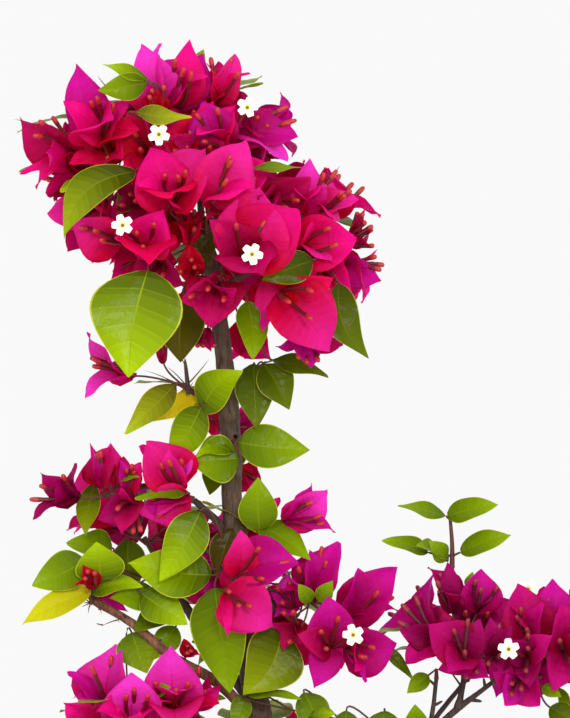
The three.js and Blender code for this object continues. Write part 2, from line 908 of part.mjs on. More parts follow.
// The pot: a thick clay wall with a floor, and a collar that stands out round its mouth.
function makePot() {
  const { height, rimRadius, footRadius, wall, floor, collar, collarStep, mouthStep } = pot;
  const under = rimRadius - collarStep;
  return turned([
    [0, 0],
    [footRadius, 0],
    [under, height - collar],
    [rimRadius, height - collar],
    [rimRadius, height],
    [rimRadius - wall - mouthStep, height],
    [under - wall, height - collar],
    [footRadius - wall, floor],
    [0, floor],
  ]);
}

// The soil fills the pot to its level, clear of the clay.
function makeSoil() {
  const { height, rimRadius, footRadius, wall, floor, collar, collarStep, mouthStep } = pot;
  const under = rimRadius - collarStep - wall;
  const mouth = rimRadius - wall - mouthStep;
  const top = lerp(under, mouth, (soilLevel - (height - collar)) / collar);
  return turned([
    [0, floor + clearance],
    [footRadius - wall - soilGap, floor + clearance],
    [under - soilGap, height - collar],
    [top - soilGap, soilLevel],
    [0, soilLevel],
  ]);
}

const curveThrough = (points) => new THREE.CatmullRomCurve3(points, false, "centripetal");
const pointsOf = (route) => route.map((p) => vector(...p));

// The middle of a limb at a height, or its tip where no height is given. Every limb rises all the way.
const limbCurves = { trunk: curveThrough(pointsOf(trunkRoute)) };
function placeOn({ limb, height }) {
  const curve = limbCurves[limb];
  if (height === undefined) return curve.getPoint(1);
  let [low, high] = [0, 1];
  for (let i = 0; i < 30; i++) {
    const middle = (low + high) / 2;
    if (curve.getPoint(middle).z < height) low = middle;
    else high = middle;
  }
  return curve.getPoint(low);
}

function trunkRadius(share, length) {
  const above = share * length;
  const flare = trunkShape.flare * Math.exp(-above / trunkShape.flareHeight);
  return lerp(trunkShape.footRadius, trunkShape.tipRadius, Math.pow(share, trunkShape.taper)) + flare;
}

// A limb made fatter and longer by extra, for cutting what must stand clear of it.
function limbSolid(curve, radiusAt, sides, steps, extra) {
  if (extra === 0) return bar(curve, radiusAt, sides, steps);
  const points = curve.getSpacedPoints(steps);
  const tip = points.at(-1);
  tip.add(tip.clone().sub(points.at(-2)).setLength(extra));
  return bar(curveThrough(points), (share) => radiusAt(share) + extra, sides, steps);
}

// The trunk's foot is cut flat and level at the soil.
function makeTrunk(extra) {
  const length = limbCurves.trunk.getLength();
  const { sides, steps } = trunkShape;
  const solid = limbSolid(limbCurves.trunk, (share) => trunkRadius(share, length), sides, steps, extra);
  return solid.trimByPlane([0, 0, 1], soilLevel + clearance);
}

// A bough starts in the middle of its parent limb and is cut back to stand clear of it.
function makeBough({ name, radii }, extra) {
  const curve = limbCurves[name];
  const steps = Math.max(3, Math.round(curve.getLength() / boughShape.step));
  return limbSolid(curve, (share) => lerp(radii[0], radii[1], share), boughShape.sides, steps, extra);
}

// A twig to a target moved by its nudge, with the blade that it carries. It fits where it is clear of the
// limbs and the other masses, and is apart where no blade of its own mass crosses it.
function grow(target, nudge, grown, fatLimbs) {
  const at = target.at.clone().add(nudge);
  const from = leavingPlace(grown, at);
  const along = direction(target.heading, target.rise);
  const bend = at.clone().addScaledVector(along, -from.gap * twigShape.bend);
  const startRadius = clamp(from.radius * twigShape.shareOfParent, twigShape.tipRadius, twigShape.radius);
  const next = twig(from.at, bend, at, startRadius, twigShape.tipRadius);
  const stub = { points: [at.clone().addScaledVector(along, -twigShape.stub), at], radiusAt: next.radiusAt };
  const solid = target.make({ ...target, at }, next).subtract(fatLimbs);
  const blade = target.make({ ...target, at }, stub);
  return {
    ...next,
    solid,
    blade,
    parent: from.parent,
    share: from.share,
    fits: solid.decompose().length === 1 && isClear(solid),
    isApart: grown.every((g) => isAway(g.solid, blade) && (g.isStem || isAway(g.blade, solid))),
  };
}
const isAway = (a, b) => a.minGap(b, 1) > bladeClearance;

// One mass: its stem, and a twig with its blade to each bloom and leaf, all in one solid.
function makeMass(mass, fatLimbs) {
  const more = mass.fill ? filled(mass.fill) : { blooms: [], leaves: [] };
  const blooms = [...mass.blooms.map(bloomOf), ...more.blooms].map((b) => ({ ...b, make: bloomSolid }));
  const leaves = [...mass.leaves.map(leafOf), ...more.leaves].map((l) => ({ ...l, make: leafSolid }));
  const curve = curveThrough([placeOn(mass.from), ...pointsOf(mass.stem)]);
  const radiusAt = (share) => lerp(stemShape.radius, stemShape.tipRadius, share);
  const steps = mass.stem.length + 1;
  const solid = bar(curve, radiusAt, stemShape.sides, steps).subtract(fatLimbs);
  const root = stemShape.root / curve.getLength();
  const stem = { points: curve.getSpacedPoints(steps), radiusAt, isStem: true, solid, root };
  const heart = stem.points.at(-1);
  const targets = [...blooms, ...leaves].sort((a, b) => a.at.distanceTo(heart) - b.at.distanceTo(heart));
  const grown = [stem];
  for (const target of targets) {
    const tries = target.nudges.map((nudge) => grow(target, nudge, grown, fatLimbs)).filter((t) => t.fits);
    const found = tries.find((t) => t.isApart) ?? (target.mayTouch && tries[0]);
    if (found) grown.push(found);
  }
  return largest(wasm.Manifold.union(grown.map((g) => g.solid)));
}

addNode("pot", makePot(), colours.clay, 0.85);
addNode("soil", makeSoil(), colours.soil, 1);
addNode("trunk", makeTrunk(0), colours.bark, 0.9);

// What is cut by a limb keeps this much from it, a little over the clearance.
const slack = clearance + 0.1;
const fatSolids = [makeTrunk(slack)];
for (const bough of boughs) {
  limbCurves[bough.name] = curveThrough([placeOn(bough.from), ...pointsOf(bough.route)]);
  const cut = makeBough(bough, 0).subtract(wasm.Manifold.union(fatSolids));
  addNode(bough.name, largest(cut), colours.bark, 0.9);
  fatSolids.push(makeBough(bough, slack));
}
const fatLimbs = wasm.Manifold.union(fatSolids);
for (const mass of masses) {
  const isLeafy = mass.blooms.length === 0 && !mass.fill;
  addNode("mass_" + mass.name, makeMass(mass, fatLimbs), isLeafy ? colours.leaf : colours.bract, 0.6);
}

export default group;
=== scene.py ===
import bpy
import numpy as np
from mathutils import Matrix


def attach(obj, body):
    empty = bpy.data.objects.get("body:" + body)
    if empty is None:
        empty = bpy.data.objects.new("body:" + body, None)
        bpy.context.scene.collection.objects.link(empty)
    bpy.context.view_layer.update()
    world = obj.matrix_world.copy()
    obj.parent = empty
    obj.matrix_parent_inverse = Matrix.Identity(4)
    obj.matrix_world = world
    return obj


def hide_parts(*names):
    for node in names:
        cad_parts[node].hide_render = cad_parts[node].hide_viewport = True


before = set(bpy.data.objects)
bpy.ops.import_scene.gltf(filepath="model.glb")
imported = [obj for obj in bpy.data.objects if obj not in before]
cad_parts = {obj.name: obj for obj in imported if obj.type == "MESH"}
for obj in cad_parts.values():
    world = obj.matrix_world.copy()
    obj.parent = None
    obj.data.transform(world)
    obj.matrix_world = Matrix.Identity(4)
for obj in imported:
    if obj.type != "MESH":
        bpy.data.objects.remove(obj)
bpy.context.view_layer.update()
mm = 0.001
print("frame loaded:", len(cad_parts), "solids")

# Camera: level, from the front, at the photo's crop
camera = {
    "distance": 3.0, "aimX": 0.0145, "aimZ": 0.5045, "viewHeight": 0.359, "sensorHeight": 24, "clipEnd": 30,
}

cameraData = bpy.data.cameras.new("camera")
cameraData.sensor_fit = "VERTICAL"
cameraData.sensor_height = camera["sensorHeight"]
cameraData.lens = camera["sensorHeight"] * camera["distance"] / camera["viewHeight"]
cameraData.clip_end = camera["clipEnd"]
cameraObject = bpy.data.objects.new("camera", cameraData)
cameraObject.location = (camera["aimX"], -camera["distance"], camera["aimZ"])
cameraObject.rotation_euler = (np.pi / 2, 0, 0)
bpy.context.scene.collection.objects.link(cameraObject)
bpy.context.scene.camera = cameraObject


# Shader maths as Python expressions
class Value:
    def __init__(self, tree, socket):
        self.tree, self.socket = tree, socket

    def maths(self, operation, *others):
        node = self.tree.nodes.new("ShaderNodeMath")
        node.operation = operation
        for slot, item in zip(node.inputs, (self, *others)):
            put(self.tree, slot, item)
        return Value(self.tree, node.outputs[0])

    def __add__(self, other):
        return self.maths("ADD", other)

    def __sub__(self, other):
        return self.maths("SUBTRACT", other)

    def __mul__(self, other):
        return self.maths("MULTIPLY", other)

    def between(self, low, high):
        # 0 up to low, 1 from high on, and straight between them
        return ((self - low) * (1.0 / (high - low))).maths("MAXIMUM", 0.0).maths("MINIMUM", 1.0)


def put(tree, socket, item):
    # Joins a value to an input, or sets the input to a colour or a number
    if isinstance(item, Value):
        tree.links.new(item.socket, socket)
    elif isinstance(item, tuple) and len(item) == 3 and socket.type == "RGBA":
        socket.default_value = (*item, 1.0)
    else:
        socket.default_value = item


class Finish:
    # One material and its nodes
    def __init__(self, name):
        self.material = bpy.data.materials.new(name)
        self.material.use_nodes = True
        self.tree = self.material.node_tree
        self.tree.nodes.clear()

    def node(self, kind, settings=None, output=0, **inputs):
        made = self.tree.nodes.new("ShaderNode" + kind)
        for key, item in (settings or {}).items():
            setattr(made, key, item)
        # An input is named, or numbered after an n where its name stands for several
        for key, item in inputs.items():
            slot = int(key[1:]) if key[0] == "n" and key[1:].isdigit() else key.replace("_", " ")
            put(self.tree, made.inputs[slot], item)
        return Value(self.tree, made.outputs[output])

    def places(self):
        return self.node("TexCoord", output="Object")

    def noise(self, scale, detail, rough=0.5, places=None):
        places = places or self.places()
        return self.node("TexNoise", Vector=places, Scale=scale, Detail=detail, Roughness=rough)

    def mixed(self, share, first, second):
        # Inputs 0, 6 and 7 of a colour Mix are its factor and its two colours, and output 2 is the colour
        return self.node("Mix", {"data_type": "RGBA"}, output=2, n0=share, n6=first, n7=second)

    def surface(self, colour, roughness, normal, **inputs):
        return self.node("BsdfPrincipled", Base_Color=colour, Roughness=roughness, Normal=normal, **inputs)

    def bump(self, height, distance):
        return self.node("Bump", Height=height, Distance=distance, Strength=1.0)

    def done(self, shader):
        surface = self.tree.nodes.new("ShaderNodeOutputMaterial")
        self.tree.links.new(shader.socket, surface.inputs["Surface"])
        return self.material


def srgb(red, green, blue):
    # A colour as the screen shows it, 0 to 255, as the light that makes it
    share = np.array([red, green, blue]) / 255
    light = np.where(share <= 0.04045, share / 12.92, ((share + 0.055) / 1.055) ** 2.4)
    return tuple(float(v) for v in light)


def mix(first, last, share):
    # The first at a share of 0, the last at 1, and straight between them
    return first + (last - first) * share


def blended(first, last, share):
    # The same of two colours
    return tuple(float(mix(a, b, share)) for a, b in zip(first, last))


def angles(count):
    # Even steps round a full turn, in radians
    return 2 * np.pi * np.arange(count) / count


# Vectors, as arrays whose last axis is x, y, z. The spare stands in for one that lies along an axis.
tiny = 1e-12
upwards = np.array([0.0, 0.0, 1.0])
spare = np.array([0.13, -1.0, 0.07])
shortest = 0.05


def unit(v):
    # v over its own length
    return v / np.maximum(np.linalg.norm(v, axis=-1, keepdims=True), tiny)


def direction(heading, rise):
    # Heading 0 is towards the viewer and 90 towards +X, rise is above level, both in degrees
    h, r = np.radians(heading), np.radians(rise)
    return np.stack([np.cos(r) * np.sin(h), -np.cos(r) * np.cos(h), np.sin(r) + 0 * h], axis=-1)


def squareTo(v, axis):
    # The part of v square to an axis: v less what of it lies along the axis
    both = (np.broadcast_to(one, axis.shape) for one in (v, spare))
    flat, other = (one - axis * np.sum(one * axis, axis=-1, keepdims=True) for one in both)
    isShort = np.linalg.norm(flat, axis=-1, keepdims=True) < shortest
    return unit(np.where(isShort, other, flat))


def turnedAbout(v, axis, degrees):
    # v, square to the axis, turned about it
    angle = np.radians(degrees)[..., None]
    return v * np.cos(angle) + np.cross(axis, v) * np.sin(angle)


def inFrame(at, axes, amounts):
    # Grids of points: each sheet's place plus every amount along its own direction
    points = at[:, None, None]
    for axis, amount in zip(axes, amounts):
        points = points + amount[..., None] * axis[:, None, None]
    return points


# Meshes: corners are rows of four points, and a triangle names one point twice
def sheetCorners(rows, columns, closed=False, welded=()):
    # The squares of a grid of points. Points of a welded row are all one point.
    row = np.arange(rows - 1)[:, None]
    column = np.arange(columns if closed else columns - 1)[None, :]
    beside = (column + 1) % columns
    here, above = row * columns, (row + 1) * columns
    corners = np.stack([here + column, here + beside, above + beside, above + column], -1).reshape(-1, 4)
    for one in welded:
        one = one % rows
        corners = np.where(corners // columns == one, one * columns, corners)
    return corners


def copies(points, corners, kinds):
    # Many sheets of one layout: points (n, rows, columns, 3), and kinds (n, squares) or one for all
    count = len(points)
    flat = points.reshape(count, -1, 3)
    shift = (np.arange(count) * flat.shape[1])[:, None, None]
    kinds = np.broadcast_to(kinds, (count, len(corners)))
    return flat.reshape(-1, 3), (corners[None] + shift).reshape(-1, 4), kinds.reshape(-1)


def makePiece(name, batches, materials, replaced=()):
    # Joins batches of points, corners and kinds, which number the materials, into one mesh
    starts = np.cumsum([0] + [len(b[0]) for b in batches])
    points = np.concatenate([b[0] for b in batches])
    corners = np.concatenate([b[1] + s for b, s in zip(batches, starts)])
    kinds = np.concatenate([b[2] for b in batches])
    isNew = corners != np.roll(corners, 1, axis=1)
    whole = isNew.sum(axis=1) > 2
    corners, kinds, isNew = corners[whole], kinds[whole], isNew[whole]
    sides = isNew.sum(axis=1)
    used, loops = np.unique(corners[isNew], return_inverse=True)
    mesh = bpy.data.meshes.new(name)
    mesh.vertices.add(len(used))
    mesh.vertices.foreach_set("co", (points[used] * mm).astype(np.float32).ravel())
    mesh.loops.add(len(loops))
    mesh.loops.foreach_set("vertex_index", loops.astype(np.int32).ravel())
    mesh.polygons.add(len(sides))
    mesh.polygons.foreach_set("loop_start", (np.cumsum(sides) - sides).astype(np.int32))
    mesh.polygons.foreach_set("loop_total", sides.astype(np.int32))
    mesh.polygons.foreach_set("material_index", kinds.astype(np.int32))
    mesh.polygons.foreach_set("use_smooth", np.ones(len(sides), dtype=bool))
    for material in materials:
        mesh.materials.append(material)
    mesh.update(calc_edges=True)
    mesh.validate()
    piece = bpy.data.objects.new(name, mesh)
    bpy.context.scene.collection.objects.link(piece)
    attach(piece, "root")
    if replaced:
        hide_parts(*replaced)
    triangles = int((sides - 2).sum())
    print(name, triangles, "triangles")
    return triangles


# Curves and tubes
stepsPerSpan = 12


def throughPoints(points):
    # A centripetal Catmull-Rom curve: each span is a cubic whose slopes come from its neighbours, with
    # the square root of the distances as its times
    points = np.array(points, dtype=float)
    p = np.array([2 * points[0] - points[1], *points, 2 * points[-1] - points[-2]])
    times = np.sqrt(np.linalg.norm(np.diff(p, axis=0), axis=1))[:, None]
    before, here, after = times[:-2], times[1:-1], times[2:]
    a, b, c, d = p[:-3], p[1:-2], p[2:-1], p[3:]
    leaving = ((b - a) / before - (c - a) / (before + here) + (c - b) / here) * here
    arriving = ((c - b) / here - (d - b) / (here + after) + (d - c) / after) * here
    t = (np.arange(stepsPerSpan) / stepsPerSpan)[None, :, None]
    b, c, leaving, arriving = b[:, None], c[:, None], leaving[:, None], arriving[:, None]
    cubic = 2 * b - 2 * c + leaving + arriving
    square = -3 * b + 3 * c - 2 * leaving - arriving
    curve = b + leaving * t + square * t**2 + cubic * t**3
    return np.concatenate([curve.reshape(-1, 3), points[-1:]])


def lengthOf(path):
    # The sum of the lengths of its steps
    return float(np.linalg.norm(np.diff(path, axis=0), axis=1).sum())


def pointOn(path, shares):
    # Points at shares of a path's length
    steps = np.linalg.norm(np.diff(path, axis=0), axis=1)
    done = np.concatenate([[0], np.cumsum(steps)])
    return np.stack([np.interp(np.asarray(shares) * done[-1], done, path[:, k]) for k in range(3)], axis=-1)


def arc(start, bend, end, t):
    # The quadratic curve from start to end that sets out for the bend
    return start * (1 - t) ** 2 + bend * 2 * t * (1 - t) + end * t**2


def tubePoints(paths, radii, sides, reference, relief=1):
    # Rings round each path: the path's point plus the radius times a turn of two directions that are
    # square to its tangent. Paths are (n, rings, 3) and radii (n, rings).
    ahead = np.concatenate([paths[:, 1:], paths[:, -1:]], axis=1)
    behind = np.concatenate([paths[:, :1], paths[:, :-1]], axis=1)
    tangent = unit(ahead - behind)
    first = squareTo(reference, tangent)
    second = np.cross(tangent, first)
    turn = angles(sides)[:, None]
    ring = first[:, :, None] * np.cos(turn) + second[:, :, None] * np.sin(turn)
    size = np.broadcast_to(radii[:, :, None] * relief, ring.shape[:3])
    return paths[:, :, None] + ring * size[..., None]


def latticeNoise(shape, cells, seed):
    # Smooth noise from -1 to 1 on a grid: random values at lattice points, blended by 3t^2 - 2t^3. The
    # second axis joins up.
    random = np.random.default_rng(seed).uniform(-1, 1, (cells[0] + 2, cells[1] + 2))
    random[:, cells[1]:] = random[:, :2]
    u = np.linspace(0, cells[0], shape[0])[:, None]
    v = (np.arange(shape[1]) * cells[1] / shape[1])[None, :]
    iu, iv = np.floor(u).astype(int), np.floor(v).astype(int)
    fu, fv = u - iu, v - iv
    fu, fv = fu * fu * (3 - 2 * fu), fv * fv * (3 - 2 * fv)
    low = random[iu, iv] * (1 - fv) + random[iu, iv + 1] * fv
    high = random[iu + 1, iv] * (1 - fv) + random[iu + 1, iv + 1] * fv
    return low * (1 - fu) + high * fu


def seeded(seed):
    # Random numbers as in the part's source, so that a fill's places are the same
    stride, mask = 0x6D2B79F5, 0xFFFFFFFF
    state = seed & mask

    def random():
        nonlocal state
        state = (state + stride) & mask
        mixed = ((state ^ (state >> 15)) * (1 | state)) & mask
        added = (mixed + (((mixed ^ (mixed >> 7)) * (61 | mixed)) & mask)) & mask
        mixed = added ^ mixed
        return ((mixed ^ (mixed >> 14)) & mask) / (mask + 1)

    return random


# Limbs: the same routes, radii and starting places as the solids
soilLevel = 157
trunkShape = {"footRadius": 9, "tipRadius": 3.6, "taper": 0.8, "flare": 6, "flareHeight": 16, "sink": 6}
limbs = {
    "trunk": {
        "route": [
            [0, 0, soilLevel - trunkShape["sink"]], [3, 1, 196], [5, 0, 250], [1, 0, 315], [-3, 0, 364],
            [-9, 0, 404], [-12, 0, 436], [-13, 0, 470], [-16, 0, 505], [-21, 0, 540], [-27, 0, 570],
        ],
    },
    "bough_left": {
        "limb": "trunk", "height": 414, "radii": [2.2, 1.5], "route": [[-21, -2, 425], [-31, -3, 434]],
    },
    "bough_left_dry": {
        "limb": "trunk", "height": 322, "radii": [3.0, 1.9],
        "route": [[-18, -5, 342], [-43, -9, 357], [-62, -9, 373], [-81, -9, 384]],
    },
    "bough_low_left": {
        "limb": "trunk", "height": 258, "radii": [3.6, 2.2], "route": [[-20, -4, 288], [-47, -6, 316]],
    },
    "bough_right": {
        "limb": "trunk", "height": 366, "radii": [2.8, 2.1], "route": [[6, -5, 379], [18, -8, 388]],
    },
    "bough_low_right": {
        "limb": "trunk", "height": 262, "radii": [3.2, 2], "route": [[24, -8, 284], [44, -12, 302]],
    },
    "bough_far_right": {
        "limb": "trunk", "height": 226, "radii": [3.6, 1.1],
        "route": [[34, 2, 258], [70, 0, 298], [94, -2, 324], [118, -4, 343]],
    },
    "bough_shoot_right": {
        "limb": "bough_far_right", "height": 330, "radii": [1.5, 1.0],
        "route": [[104, -3, 348], [101, -2, 374], [98, -2, 400]],
    },
    "bough_twig_right": {
        "limb": "bough_far_right", "height": 309, "radii": [1.3, 1.0],
        "route": [[87, -7, 324], [90, -8, 345]],
    },
    "bough_far_back": {
        "limb": "bough_far_right", "height": 300, "radii": [1.5, 1.1],
        "route": [[92, 20, 326], [106, 34, 342]],
    },
    "bough_back_left": {
        "limb": "trunk", "height": 330, "radii": [3.2, 2], "route": [[-24, 24, 362], [-44, 40, 392]],
    },
    "bough_back_right": {
        "limb": "trunk", "height": 346, "radii": [3, 2], "route": [[8, 22, 366], [18, 38, 382]],
    },
    "bough_low_front": {
        "limb": "trunk", "height": 216, "radii": [3.6, 2.2], "route": [[4, -36, 252], [5, -54, 276]],
    },
    "bough_low_back": {
        "limb": "trunk", "height": 232, "radii": [3.6, 2.2], "route": [[-2, 38, 266], [-5, 54, 286]],
    },
}


def placeOn(limb, height=None):
    # The middle of a limb at a height, or its tip. Every limb rises all the way.
    path = limbPaths[limb]
    if height is None:
        return path[-1]
    return np.array([np.interp(height, path[:, 2], path[:, k]) for k in range(3)])


limbPaths = {}
for name, limb in limbs.items():
    start = [placeOn(limb["limb"], limb["height"])] if "limb" in limb else []
    limbPaths[name] = throughPoints([*start, *limb["route"]])


def trunkRadius(share):
    # A taper by a power of the share, and a flare that dies away above the foot
    above = share * lengthOf(limbPaths["trunk"])
    wood = mix(trunkShape["footRadius"], trunkShape["tipRadius"], share ** trunkShape["taper"])
    return wood + trunkShape["flare"] * np.exp(-above / trunkShape["flareHeight"])


def fill(seed, centre, radii, heading, rise, blooms, leaves, scale=1):
    # Numbers of blooms and leaves placed by rule inside an ellipsoid, between two headings and two rises
    return {
        "seed": seed, "centre": centre, "radii": radii, "heading": heading, "rise": rise,
        "blooms": blooms, "leaves": leaves, "scale": scale,
    }


